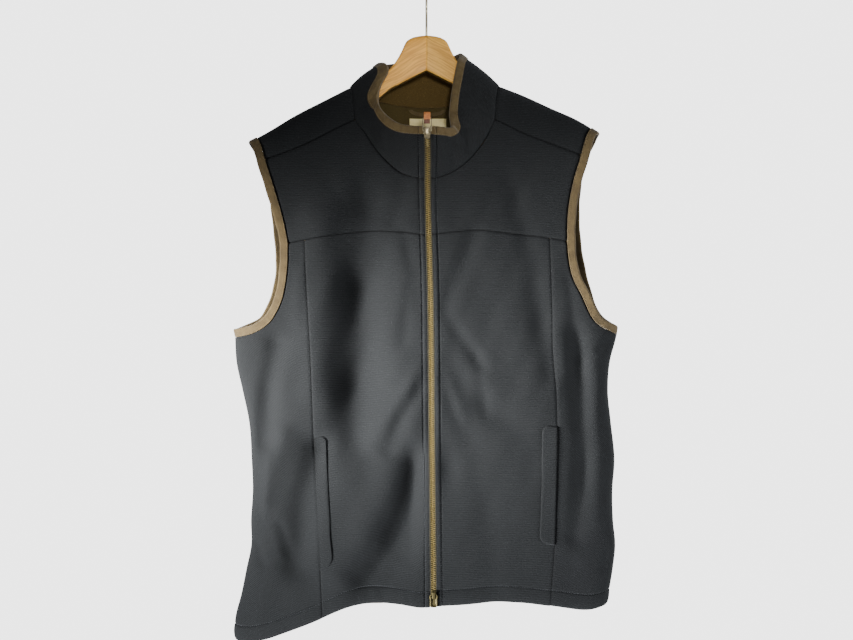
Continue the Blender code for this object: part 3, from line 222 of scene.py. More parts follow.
SMALL_CREASES = [
    Fold(Face.FRONT, 7, 2.2, [(-241, -786), (-233, -812)]),
    Fold(Face.FRONT, 7, 3.2, [(-206, -758), (-195, -796)]),
    Fold(Face.FRONT, 6, -1.6, [(-221, -660), (-228, -742)]),
    Fold(Face.FRONT, 8, 2.4, [(246, -510), (262, -499)]),
    Fold(Face.FRONT, 7, -1.5, [(232, -528), (264, -512)]),
    Fold(Face.FRONT, 7, 2.2, [(210, -816), (196, -836)]),
    Fold(Face.FRONT, 6, 1.8, [(251, -820), (258, -798)]),
    Fold(Face.FRONT, 8, 1.6, [(201, -414), (207, -466)]),
    Fold(Face.FRONT, 9, 1.8, [(-24, -420), (-32, -500)]),
    Fold(Face.FRONT, 8, -1.4, [(30, -540), (52, -610)]),
    Fold(Face.FRONT, 9, 1.5, [(70, -520), (84, -600)]),
    Fold(Face.FRONT, 10, 1.6, [(-150, -250), (-120, -300)]),
    Fold(Face.FRONT, 10, 1.4, [(150, -250), (128, -296)]),
    Fold(Face.FRONT, 9, -1.5, [(-178, -400), (-182, -470)]),
    Fold(Face.FRONT, 8, 1.6, [(24, -846), (72, -838)]),
    Fold(Face.FRONT, 8, 1.5, [(-44, -822), (-62, -846)]),
    Fold(Face.BACK, 9, 2.0, [(-228, -520), (-196, -560)]),
    Fold(Face.BACK, 9, 2.0, [(238, -520), (200, -552)]),
    Fold(Face.BACK, 10, 1.8, [(-60, -190), (-30, -260)]),
    Fold(Face.BACK, 10, -1.6, [(70, -180), (48, -250)]),
    Fold(Face.BACK, 9, 1.6, [(-150, -760), (-128, -850)]),
    Fold(Face.BACK, 9, 1.6, [(150, -700), (164, -790)]),
    Fold(Face.BACK, 8, -1.4, [(10, -740), (20, -850)]),
]

CENTRE_COLUMNS = [0, 0.07, 0.19, 0.29, 0.39, 0.475, 0.55, 0.63, 0.75, 0.875, 1.0]
YOKE_TOP_X = [17, 36, 54, 71, 86.5]
STRAP_TOP_X = [125, 150, 176, 203]
CORNER_COLUMN = 6
STRAP_COLUMNS = 6
BACK_NECK_COLUMNS = 11
UNDERARM_SHARE = 0.25
BACK_TOP_REACH = 0.39
FRONT_HEIGHT = 520.0
WELT_SPAN = {Side.RIGHT: (0.528, 0.873), Side.LEFT: (0.513, 0.834)}


def pack(*columns: Array) -> Array:
    """Arrays side by side, along a new last axis."""
    return np.stack(columns, axis=-1)


def chain(*parts: Array, axis: int = 0) -> Array:
    """Arrays one after another."""
    return np.concatenate(parts, axis=axis)


def column(rows: Sequence, name: str) -> Array:
    """One named column of a table."""
    return np.array([getattr(row, name) for row in rows], dtype=float)


def cubic(position: Array, stations: Array, values: Array) -> Array:
    """Reads a smooth curve through a table.

    Hermite formula: between two rows the value runs as a cubic whose end slopes are the table's
    central differences, and it stays level past the ends.

    Args:
        position: Where to read the curve.
        stations: The table's rising positions.
        values: The table's values.

    Returns:
        The curve's values, in the shape of position.
    """
    slopes = np.gradient(values, stations)
    position = np.clip(np.asarray(position, dtype=float), stations[0], stations[-1])
    index = np.clip(np.searchsorted(stations, position, side="right") - 1, 0, len(stations) - 2)
    step = stations[index + 1] - stations[index]
    t = (position - stations[index]) / step
    rise = values[index + 1] - values[index]
    start = slopes[index] * step
    end = slopes[index + 1] * step
    return values[index] + t * (start + t * (3 * rise - 2 * start - end + t * (start + end - 2 * rise)))


def read_table(rows: Sequence, over: str, value: str, position: Array) -> Array:
    """Reads one column of a table as a smooth function of another."""
    return cubic(position, column(rows, over), column(rows, value))


def smoothstep(value: Array) -> Array:
    """0 to 1 with level ends: 3 t squared less 2 t cubed."""
    value = np.clip(value, 0.0, 1.0)
    return value * value * (3 - 2 * value)


def unit(vectors: Array) -> Array:
    """Vectors of length one."""
    return vectors / np.maximum(np.linalg.norm(vectors, axis=-1, keepdims=True), 1e-12)


def arc_length(points: Array, axis: int) -> Array:
    """Length run along one axis of a grid of points, from its first row or column."""
    steps = np.linalg.norm(np.diff(points, axis=axis), axis=-1)
    start = np.zeros_like(np.take(steps, [0], axis=axis))
    return np.cumsum(chain(start, steps, axis=axis), axis=axis)


def flat_map(points: Array) -> Array:
    """Lengths across and down a grid of points, as a map in metres."""
    return pack(arc_length(points, 1), arc_length(points, 0)) * MM


def spaced(length: float, step: float, close_to: Sequence[float], step_there: float = 0.6) -> Array:
    """Places along a length as shares: a plain step, and a closer one round some places.

    Args:
        length: The whole length in millimetres.
        step: The plain spacing.
        close_to: Places that get the closer spacing, measured from 0.
        step_there: The closer spacing.

    Returns:
        Rising shares from 0 to 1.
    """
    reach = np.arange(-5, 6) * step_there
    places = [np.linspace(0, length, max(int(length / step), 2) + 1)]
    places += [place + reach for place in close_to]
    places = np.unique(np.clip(np.concatenate(places), 0, length))
    keep = chain([True], np.diff(places) > step_there * 0.45)
    keep[-1] = True
    places = places[keep]
    places[-1] = length
    if places[-1] - places[-2] < step_there * 0.3:
        places = np.delete(places, -2)
    return places / length


@dataclass(frozen=True)
class GarmentForm:
    """The surface that every panel lies on.

    A point is told by its face, its angle round the body and the root of its drop below the shoulder
    ridge. The depth grows as 1 - exp(-root), and is rounded off towards the sides by a power of the
    angle's cosine. Folds and a faint ripple are taken off it.
    """

    front_depth: float = 70.0
    back_depth: float = 62.0
    front_ease: float = 100.0
    back_ease: float = 70.0
    side_power: float = 0.8
    taper_drop: float = 170.0
    ridge_sweep: float = 0.114
    ridge_bend: float = 20.0
    sweep_fade: float = 60.0
    fold_ridge_drop: float = 45.0
    fold_zip_reach: float = 34.0
    fold_side_share: float = 3.0
    ripple_height: float = 0.35
    zip_half_opening: float = 5.0

    def ridge_z(self, x: Array) -> Array:
        """Height of the shoulder ridge."""
        return read_table(RIDGE, "x", "z", x)

    def zip_x(self, z: Array) -> Array:
        """x of the zip's middle at a height."""
        return read_table(ZIP_LINE, "z", "x", z)

    def ridge_y(self, x: Array) -> Array:
        """The ridge swings forward towards the arms: a hyperbola with a round middle."""
        return -self.ridge_sweep * (np.sqrt(x * x + self.ridge_bend ** 2) - self.ridge_bend)

    def middle_and_half(self, z: Array) -> tuple[Array, Array]:
        """The body's middle and half width at a height."""
        right = read_table(SIDES, "z", "right", z)
        left = read_table(SIDES, "z", "left", z)
        return (left + right) / 2, (left - right) / 2

    def fold_depth(self, x: Array, z: Array, facing: Array) -> Array:
        """Sum of the folds, each a bell curve of the distance to its path, a little uneven along it."""
        total = np.zeros_like(x)
        for number, fold in enumerate(MAIN_FOLDS + SMALL_CREASES):
            nearest = np.full_like(x, 1e9)
            for (x0, z0), (x1, z1) in zip(fold.path[:-1], fold.path[1:]):
                squared = (x1 - x0) ** 2 + (z1 - z0) ** 2
                t = np.clip(((x - x0) * (x1 - x0) + (z - z0) * (z1 - z0)) / squared, 0, 1)
                nearest = np.minimum(nearest, np.hypot(x - x0 - t * (x1 - x0), z - z0 - t * (z1 - z0)))
            uneven = 1 + 0.16 * np.sin(z / 23.0 + number) + 0.1 * np.sin(x / 17.0 + 2.3 * number)
            shape = fold.depth * uneven * np.exp(-(nearest / fold.width) ** 2)
            total += np.where(facing * fold.face.value > 0, shape, 0.0)
        return total

    def ripple(self, x: Array, z: Array, facing: Array) -> Array:
        """Faint unevenness of hanging cloth: four crossing waves."""
        waves = np.sin(x / 9.3 + z / 31.0 + facing) + np.sin(x / 14.9 - z / 22.0)
        waves += 0.8 * np.sin(z / 16.7 + x / 47.0) + 0.6 * np.sin(x / 6.1 - z / 13.3 + 2 * facing)
        return self.ripple_height * waves

    def point(self, angle: Array, root: Array, face: Face) -> Array:
        """Points of the outer surface at arrays of angle and root.

        Args:
            angle: Turn from the middle of the face towards its side.
            root: Square root of the drop below the ridge, negative past the ridge.
            face: The face that the root is counted on.

        Returns:
            Points in millimetres.
        """
        drop = root * root
        turn = np.cos(angle)
        facing = face.value * np.sign(turn) * np.where(root < 0, -1.0, 1.0)
        z = -200.0 - drop
        for _ in range(8):
            middle, half = self.middle_and_half(z)
            x = middle + half * np.sin(angle)
            z = self.ridge_z(x) - drop
        full = np.where(facing > 0, self.front_depth, self.back_depth)
        ease = np.where(facing > 0, self.front_ease, self.back_ease)
        depth = full * (1 - np.exp(-np.abs(root) / np.sqrt(ease)))
        taper = 1 - (1 - np.abs(turn) ** self.side_power) * smoothstep(drop / self.taper_drop)
        reach = np.clip(np.abs(turn) * self.fold_side_share, 0, 1)
        reach = reach * smoothstep(drop / self.fold_ridge_drop)
        off_zip = smoothstep(np.abs(x - self.zip_x(z)) / self.fold_zip_reach)
        near_zip = np.where(facing > 0, off_zip, 1.0)
        creases = self.fold_depth(x, z, facing) + self.ripple(x, z, facing)
        depth = depth * taper - creases * reach * near_zip
        y = self.ridge_y(x) * np.exp(-drop / self.sweep_fade) - facing * depth
        return pack(x, y, z)

    def at_heights(self, grid: Array, face: Face) -> Array:
        """Surface points on a grid given as angles and heights."""
        angle = grid[..., 0]
        z = grid[..., 1]
        middle, half = self.middle_and_half(z)
        root = np.sqrt(np.maximum(self.ridge_z(middle + half * np.sin(angle)) - z, 0.0))
        return self.point(angle, root, face)

    def to_angles(self, points: Array) -> Array:
        """Turns x and z into angle and z."""
        middle, half = self.middle_and_half(points[..., 1])
        angle = np.arcsin(np.clip((points[..., 0] - middle) / half, -1, 1))
        return pack(angle, points[..., 1])


def fill(top: Array, bottom: Array, inner: Array, outer: Array, top_reach: float = 1.0) -> Array:
    """Grid between four edges.

    Each row runs straight between the side edges, plus what is left there of the top edge's shape,
    which fades over top_reach of the height, and of the bottom edge's shape.

    Args:
        top: Top edge, from the inner to the outer corner.
        bottom: Bottom edge.
        inner: Inner edge, from the top down.
        outer: Outer edge.
        top_reach: Share of the height over which the top edge's shape fades.

    Returns:
        A grid of rows and columns.
    """
    u = (top[:, 0] - top[0, 0]) / (top[-1, 0] - top[0, 0])
    v = (inner[:, 1] - inner[0, 1]) / (inner[-1, 1] - inner[0, 1])
    u = u[None, :, None]
    v = v[:, None, None]
    top_shape = top[None] - ((1 - u) * top[0] + u * top[-1])
    bottom_shape = bottom[None] - ((1 - u) * bottom[0] + u * bottom[-1])
    sides = (1 - u) * inner[:, None] + u * outer[:, None]
    return sides + np.clip(1 - v / top_reach, 0, 1) * top_shape + v * bottom_shape


def along(edges: Sequence[Spot], shares: Array) -> Array:
    """Points at shares of the length of the smooth line through a table."""
    xs = column(edges, "x")
    zs = column(edges, "z")
    length = chain([0.0], np.cumsum(np.hypot(np.diff(xs), np.diff(zs))))
    at = np.asarray(shares) * length[-1]
    return pack(cubic(at, length, xs), cubic(at, length, zs))


@dataclass
class Pattern:
    """The cut of the garment: where each panel lies, as grids of angle and height."""

    form: GarmentForm = field(default_factory=GarmentForm)

    def princess_x(self, side: Side, z: Array) -> Array:
        """x of the princess seam at a height."""
        return read_table(PRINCESS[side], "z", "x", z)

    def zip_edge(self, side: Side, z: Array) -> Array:
        """x of a front's edge along the zip."""
        return self.form.zip_x(z) + side.value * self.form.zip_half_opening

    def centre_x(self, side: Side, columns: Array, low: bool) -> Array:
        """x along the centre panel's top or bottom edge at shares of its width."""
        z_zip, z_seam = (-867.0, -875.0) if low else (-350.0, -355.0)
        start = self.zip_edge(side, z_zip)
        return start + (self.princess_x(side, z_seam) - start) * columns

    def upright(self, x_of_z, top: Array, bottom: Array, rows: Array) -> Array:
        """A line between two corners whose x follows a function of its height."""
        z = top[1] + (bottom[1] - top[1]) * rows
        line = pack(x_of_z(z), z)
        line[0], line[-1] = top, bottom
        return line

    def centre(self, side: Side, columns: Array, rows: Array) -> Array:
        """Front centre panel, from the zip to the princess seam."""
        top_x = self.centre_x(side, columns, False)
        bottom_x = self.centre_x(side, columns, True)
        top = pack(top_x, read_table(YOKE_SEAM, "x", "z", top_x))
        bottom = pack(bottom_x, read_table(HEM_FRONT, "x", "z", bottom_x))
        inner = self.upright(lambda z: self.zip_edge(side, z), top[0], bottom[0], rows)
        outer = self.upright(lambda z: self.princess_x(side, z), top[-1], bottom[-1], rows)
        turn = self.form.to_angles
        return self.form.at_heights(fill(turn(top), turn(bottom), turn(inner), turn(outer)), Face.FRONT)

    def side_seam(self, side: Side, parts: Array) -> Array:
        """Angle and z down the side seam, at shares from the underarm to the hem."""
        underarm = ARMHOLE_FRONT[side][-1].z
        hem = read_table(HEM_FRONT, "x", "z", np.array(side.value * 275.0))
        z = underarm + (hem - underarm) * parts
        return pack(np.full_like(z, side.value * math.pi / 2), z)

    def flank(self, side: Side, columns: Array, rows: Array) -> Array:
        """Front side panel, from the princess seam to the armhole and the side seam."""
        turn = self.form.to_angles
        ends = self.centre_x(side, np.array([0.0, 1.0]), False), self.centre_x(side, np.array([0.0, 1.0]), True)
        corner = np.array([ends[0][1], read_table(YOKE_SEAM, "x", "z", ends[0][1])])
        foot = np.array([ends[1][1], read_table(HEM_FRONT, "x", "z", ends[1][1])])
        inner = turn(self.upright(lambda z: self.princess_x(side, z), corner, foot, rows))
        arm = turn(along(ARMHOLE_FRONT[side], rows[rows <= UNDERARM_SHARE] / UNDERARM_SHARE))
        arm[-1, 0] = side.value * math.pi / 2
        parts = (rows[rows > UNDERARM_SHARE] - UNDERARM_SHARE) / (1 - UNDERARM_SHARE)
        outer = chain(arm, self.side_seam(side, parts))
        top_x = corner[0] + (ARMHOLE_FRONT[side][0].x - corner[0]) * columns
        top = turn(pack(top_x, read_table(YOKE_SEAM, "x", "z", top_x)))
        top[0], top[-1] = inner[0], outer[0]
        top[:, 0] = inner[0, 0] + (outer[0, 0] - inner[0, 0]) * columns
        bottom_angle = inner[-1, 0] + (outer[-1, 0] - inner[-1, 0]) * columns
        middle, half = self.form.middle_and_half(np.array(-890.0))
        bottom_z = read_table(HEM_FRONT, "x", "z", middle + half * np.sin(bottom_angle))
        bottom = pack(bottom_angle, bottom_z)
        bottom[0], bottom[-1] = inner[-1], outer[-1]
        return self.form.at_heights(fill(top, bottom, inner, outer), Face.FRONT)

    def yoke_top_x(self, side: Side, places: Array) -> Array:
        """x along the yoke's top edge, by column place: the neck up to 6, then the forward seam."""
        corner = FORWARD_SEAM[4 if side is Side.RIGHT else 5].x
        xs = [float(self.zip_edge(side, np.array(-270.0)))] + [side.value * x for x in YOKE_TOP_X]
        xs += [corner] + [side.value * x for x in STRAP_TOP_X] + [ARMHOLE_YOKE[side][0].x]
        return np.interp(places, np.arange(len(xs)), xs)

    def yoke(self, side: Side, places: Array, rows: Array) -> Array:
        """Chest yoke, from the neck and the forward shoulder seam down to the yoke seam."""
        turn = self.form.to_angles
        bottom_x = np.append(self.centre_x(side, np.array(CENTRE_COLUMNS), False), ARMHOLE_FRONT[side][0].x)
        bottom_x = np.interp(places, np.arange(len(bottom_x)), bottom_x)
        bottom = turn(pack(bottom_x, read_table(YOKE_SEAM, "x", "z", bottom_x)))
        top_x = self.yoke_top_x(side, places)
        top_z = np.where(places > CORNER_COLUMN, read_table(FORWARD_SEAM, "x", "z", top_x),
                         read_table(NECK_SEAM, "x", "z", top_x))
        top = turn(pack(top_x, top_z))
        height = top[0, 1] + (bottom[0, 1] - top[0, 1]) * rows
        inner = turn(pack(self.zip_edge(side, height), height))
        outer = turn(along(ARMHOLE_YOKE[side], rows))
        inner[0], inner[-1] = top[0], bottom[0]
        outer[0], outer[-1] = top[-1], bottom[-1]
        return self.form.at_heights(fill(top, bottom, inner, outer), Face.FRONT)

    def ridge_x(self, side: Side, places: Array) -> Array:
        """x along the shoulder ridge from the neck, place 0, to the tip, place 5."""
        neck = BACK_NECK[0 if side is Side.RIGHT else -1].x
        return neck + (ARMHOLE_BACK[side][0].x - neck) * places / (STRAP_COLUMNS - 1)

    def back(self, places: Array, upper: Array, lower: Array) -> Array:
        """Back below the ridge, columns from the wearer's right to left.

        Args:
            places: Column places, 0 to 22: the right ridge to 5, the neck to 17, then the left ridge.
            upper: Shares down the armholes.
            lower: Shares from the underarm to the hem.

        Returns:
            The grid of surface points.
        """
        turn = self.form.to_angles
        first = STRAP_COLUMNS - 1
        last = first + BACK_NECK_COLUMNS + 1
        right = self.ridge_x(Side.RIGHT, first - np.arange(STRAP_COLUMNS))
        left = self.ridge_x(Side.LEFT, np.arange(STRAP_COLUMNS))
        xs = chain(right, np.linspace(right[-1], left[0], BACK_NECK_COLUMNS + 2)[1:-1], left)
        top_x = np.interp(places, np.arange(len(xs)), xs)
        on_neck = (places > first) & (places < last)
        top_z = np.where(on_neck, read_table(BACK_NECK, "x", "z", top_x), self.form.ridge_z(top_x))
        top = turn(pack(top_x, top_z))
        edges = {}
        for side in Side:
            armhole = turn(along(ARMHOLE_BACK[side], upper))
            armhole[-1, 0] = side.value * math.pi / 2
            edges[side] = chain(armhole, self.side_seam(side, lower[1:]))
        edges[Side.RIGHT][0], edges[Side.LEFT][0] = top[0], top[-1]
        span = edges[Side.LEFT][-1, 0] - edges[Side.RIGHT][-1, 0]
        bottom_angle = edges[Side.RIGHT][-1, 0] + span * places / places[-1]
        middle, half = self.form.middle_and_half(np.array(-890.0))
        bottom_z = read_table(HEM_BACK, "x", "z", middle + half * np.sin(bottom_angle))
        bottom = pack(bottom_angle, bottom_z)
        bottom[0], bottom[-1] = edges[Side.RIGHT][-1], edges[Side.LEFT][-1]
        grid = fill(top, bottom, edges[Side.RIGHT], edges[Side.LEFT], BACK_TOP_REACH)
        return self.form.at_heights(grid, Face.BACK)

    def strap(self, side: Side, places: Array, rows: Array) -> Array:
        """The back's part over the shoulder: rows from the ridge forward to the forward seam."""
        seam_x = self.yoke_top_x(side, CORNER_COLUMN + places)
        seam = self.form.to_angles(pack(seam_x, read_table(FORWARD_SEAM, "x", "z", seam_x)))
        seam_root = -np.sqrt(np.maximum(self.form.ridge_z(seam_x) - seam[:, 1], 0.0))
        ridge_x = self.ridge_x(side, places)
        ridge = self.form.to_angles(pack(ridge_x, self.form.ridge_z(ridge_x)))
        angle = ridge[:, 0] + (seam[:, 0] - ridge[:, 0]) * rows[:, None]
        return self.form.point(angle, seam_root * rows[:, None], Face.BACK)

    def neck_seam(self) -> Array:
        """The neck seam's 31 stations, from the zip round the wearer's left to the right."""
        first = STRAP_COLUMNS - 1
        rows = np.linspace(0, 1, 5)
        steps = np.arange(CORNER_COLUMN + 1, dtype=float)
        back = self.back(np.arange(23, dtype=float), np.linspace(0, 1, 13), np.linspace(0, 1, 5))
        line = np.zeros((LAST_STATION + 1, 3))
        stretches = [
            self.yoke(Side.LEFT, np.arange(12, dtype=float), rows)[0, :len(steps)],
            self.strap(Side.LEFT, steps[:STRAP_COLUMNS], np.linspace(0, 1, 4))[::-1, 0],
            back[0, first:-first][::-1],
            self.strap(Side.RIGHT, steps[:STRAP_COLUMNS], np.linspace(0, 1, 4))[:, 0],
            self.yoke(Side.RIGHT, np.arange(12, dtype=float), rows)[0, :len(steps)][::-1],
        ]
        station = 0
        for stretch in stretches:
            line[station:station + len(stretch)] = stretch
            station += len(stretch) - 1
        return line


def grid_normals(points: Array, hint: Sequence[float]) -> Array:
    """Normals of a grid by the cross product of its row and column slopes.

    Args:
        points: Rows and columns of points.
        hint: A direction that most of the normals lie towards.

    Returns:
        Unit normals in the grid's shape.
    """
    normals = unit(np.cross(np.gradient(points, axis=1), np.gradient(points, axis=0)))
    if np.sum(normals @ np.asarray(hint, dtype=float)) < 0:
        normals = -normals
    return normals


def grid_quads(rows: int, columns: int, wrap: bool = False) -> Array:
    """Corner numbers of a grid's quads; wrap joins the last column to the first."""
    index = np.arange(rows * columns).reshape(rows, columns)
    if wrap:
        index = chain(index, index[:, :1], axis=1)
    return pack(index[:-1, :-1], index[1:, :-1], index[1:, 1:], index[:-1, 1:]).reshape(-1, 4)


def make_mesh(name: str, vertices: Array, faces: Array, caps: Sequence[Sequence[int]] = (),
              uv: Array | None = None, inside: Array | None = None, sharp: float = 55.0,
              press: Array | None = None) -> Mesh:
    """Puts arrays into a mesh.

    Args:
        name: The mesh's name.
        vertices: Points in millimetres.
        faces: Quads as rows of four corner numbers.
        caps: Further faces with any number of corners.
        uv: A pair of coordinates for each corner of each quad.
        inside: Material number of each quad.
        sharp: Angle in degrees above which an edge is left sharp.
        press: How much painted shade darkens each vertex, 0 to 1.

    Returns:
        The mesh, in metres.
    """
    mesh = bpy.data.meshes.new(name)
    mesh.from_pydata((vertices * MM).tolist(), [], faces.tolist() + [list(cap) for cap in caps])
    if uv is not None:
        layer = mesh.uv_layers.new(name="cloth")
        flat = np.zeros((len(mesh.loops), 2), dtype=np.float32)
        flat[:uv.reshape(-1, 2).shape[0]] = uv.reshape(-1, 2)
        layer.data.foreach_set("uv", flat.ravel())
    if inside is not None:
        numbers = np.zeros(len(mesh.polygons), dtype=np.int32)
        numbers[:len(inside)] = inside
        mesh.polygons.foreach_set("material_index", numbers)
    # painted shade, kept as a point attribute
    if press is not None:
        layer = mesh.attributes.new("press", "FLOAT", "POINT")
        layer.data.foreach_set("value", press.astype(np.float32))
    mesh.polygons.foreach_set("use_smooth", np.ones(len(mesh.polygons), dtype=bool))
    mesh.set_sharp_from_angle(angle=math.radians(sharp))
    mesh.update()
    return mesh


@dataclass
class Patch:
    """A grid of cloth: outer points, normals, thickness, lift off the plain surface and map."""

    points: Array
    normals: Array
    wall: Array
    lift: Array
    uv: Array
    # painted shade at each point, 0 to 1
    press: Array | None = None

    @property
    def outer(self) -> Array:
        """The finished outer surface."""
        return self.points + self.normals * self.lift[..., None]


def cloth_mesh(name: str, patches: Sequence[Patch]) -> Mesh:
    """A closed thin wall over patches that share edge points.

    The outer skin is the surface plus its lift, the inner skin lies one thickness behind the plain
    surface, and each open edge gets a rim between them.
    """
    points = chain(*(patch.points.reshape(-1, 3) for patch in patches))
    normals = chain(*(patch.normals.reshape(-1, 3) for patch in patches))
    wall = chain(*(patch.wall.ravel() for patch in patches))
    lift = chain(*(patch.lift.ravel() for patch in patches))
    uv = chain(*(patch.uv.reshape(-1, 2) for patch in patches))
    press = chain(*(np.zeros(patch.lift.size) if patch.press is None else patch.press.ravel()
                    for patch in patches))
    quads = []
    start = 0
    for patch in patches:
        rows, columns = patch.points.shape[:2]
        some = grid_quads(rows, columns) + start
        turn = np.cross(points[some[:, 1]] - points[some[:, 0]], points[some[:, 3]] - points[some[:, 0]])
        inward = np.sum(turn * normals[some[:, 0]]) < 0
        quads.append(some[:, ::-1] if inward else some)
        start += rows * columns
    raw = np.concatenate(quads)
    _, first, same = np.unique(np.round(points, 2), axis=0, return_index=True, return_inverse=True)
    same = same.ravel()
    summed = np.zeros((len(first), 3))
    np.add.at(summed, same, normals)
    joined = unit(summed)
    base = points[first]
    outer = base + joined * lift[first][:, None]
    inner = base - joined * wall[first][:, None]
    faces = same[raw]
    count = len(base)
    starts = faces.ravel()
    ends = np.roll(faces, -1, axis=1).ravel()
    open_edge = ~np.isin(starts.astype(np.int64) * count + ends, ends.astype(np.int64) * count + starts)
    a, b = starts[open_edge], ends[open_edge]
    rim = pack(b, a, a + count, b + count)
    everything = chain(faces, faces[:, ::-1] + count, rim)
    rim_uv = uv[first][pack(b, a, a, b)]
    corners = chain(uv[raw], uv[raw[:, ::-1]], rim_uv)
    inside = chain(np.zeros(len(faces)), np.ones(len(faces)), np.zeros(len(rim))).astype(int)
    # painted shade on the outer skin only
    press = chain(press[first], np.zeros(count))
    return make_mesh(name, chain(outer, inner), everything, uv=corners, inside=inside, press=press)


def sweep(path: Array, across: Array, up: Array, section: Array, closed: bool = False) -> tuple[Array, Array]:
    """A section carried along a path: each ring is the path point plus across and up offsets.

    Args:
        path: Points of the middle line.
        across: Direction of the section's first coordinate at each point.
        up: Direction of the section's second coordinate at each point.
        section: Corners as across and up, one set or one for each point of the path.
        closed: Whether the path's end joins its start.

    Returns:
        Vertices and quads, without end caps.
    """
    section = np.broadcast_to(section, (len(path), *np.shape(section)[-2:]))
    rings = path[:, None] + across[:, None] * section[..., :1] + up[:, None] * section[..., 1:]
    if closed:
        rings = chain(rings, rings[:1])
    quads = grid_quads(len(rings), rings.shape[1], wrap=True)
    vertices = rings.reshape(-1, 3)
    if closed:
        count = len(path) * rings.shape[1]
        quads = quads % count
        vertices = vertices[:count]
    return vertices, quads


def sweep_mesh(name: str, path: Array, across: Array, up: Array, section: Array,
               closed: bool = False, uv_scale: float | None = None, sharp: float = 55.0) -> Mesh:
    """A mesh swept along a path, capped at its ends, with its map's v along the path in metres."""
    vertices, quads = sweep(path, across, up, section, closed)
    size = np.shape(section)[-2]
    last = len(vertices) - size
    caps = [] if closed else [range(size), range(last, last + size)]
    uv = None
    if uv_scale:
        run = arc_length(path, 0) * MM
        section_run = np.arange(size + 1) * uv_scale * MM
        row, slot = np.divmod(np.arange(len(quads)), size)
        low, high = run[row % len(path)], run[(row + 1) % len(path)]
        left, right = section_run[slot], section_run[slot + 1]
        uv = np.stack([pack(left, low), pack(left, high),
                       pack(right, high), pack(right, low)], axis=1)
    mesh = make_mesh(name, vertices, quads, caps, uv=uv, sharp=sharp)
    face_out(mesh)
    return mesh


def face_out(mesh: Mesh) -> None:
    """Turns a closed mesh's faces outwards if the volume that they sign is less than nothing."""
    mesh.calc_loop_triangles()
    corners = np.zeros(len(mesh.loop_triangles) * 3, dtype=np.int32)
    mesh.loop_triangles.foreach_get("vertices", corners)
    places = np.zeros(len(mesh.vertices) * 3, dtype=np.float32)
    mesh.vertices.foreach_get("co", places)
    a, b, c = places.reshape(-1, 3)[corners.reshape(-1, 3)].transpose(1, 0, 2).astype(float)
    if np.sum(a * np.cross(b, c)) < 0:
        mesh.flip_normals()


def face_values(mesh: Mesh, name: str) -> Array:
    """Each face's normal or center, by that name."""
    values = np.zeros(len(mesh.polygons) * 3, dtype=np.float32)
    mesh.polygons.foreach_get(name, values)
    return values.reshape(-1, 3)


def second_finish(mesh: Mesh, chosen: Array) -> None:
    """Gives the chosen faces the second of the piece's finishes."""
    mesh.polygons.foreach_set("material_index", chosen.astype(np.int32))


def upright_frame(x: float, line: Array) -> tuple[Array, Array, Array]:
    """A line of y and z at one x: its points, the x direction, and the direction square to both."""
    path = np.column_stack([np.full(len(line), x), line])
    across = np.tile([1.0, 0.0, 0.0], (len(path), 1))
    return path, across, unit(np.cross(tangents(path), across))


def circle(radius: float, count: int = 12) -> Array:
    """A round section."""
    turn = np.arange(count) * math.tau / count
    return pack(np.cos(turn), np.sin(turn)) * radius


def rounded_box(half_width: float, half_height: float, power: float = 5.0, count: int = 24) -> Array:
    """A section between box and ellipse: each coordinate is a root of the circle's."""
    turn = np.arange(count) * math.tau / count
    x, y = np.cos(turn), np.sin(turn)
    shape = pack(np.sign(x) * np.abs(x) ** (2 / power), np.sign(y) * np.abs(y) ** (2 / power))
    return shape * [half_width, half_height]


def tangents(path: Array, closed: bool = False) -> Array:
    """Unit directions along a path."""
    if closed:
        return unit(np.roll(path, -1, axis=0) - np.roll(path, 1, axis=0))
    return unit(np.gradient(path, axis=0))


def soften(values: Array, reach: int, closed: bool = False) -> Array:
    """Running mean along a path."""
    mode = "wrap" if closed else "edge"
    padded = np.pad(values, [(reach, reach)] + [(0, 0)] * (values.ndim - 1), mode=mode)
    total = sum(padded[k:k + len(values)] for k in range(2 * reach + 1))
    return total / (2 * reach + 1)


def resample(path: Array, step: float, *others: Array) -> list[Array]:
    """A path, and what goes with it, read at an even spacing."""
    run = arc_length(path, 0)
    at = np.linspace(0, run[-1], max(int(run[-1] / step), 2) + 1)
    return [pack(*(np.interp(at, run, item[:, k]) for k in range(item.shape[1])))
            for item in (path, *others)]


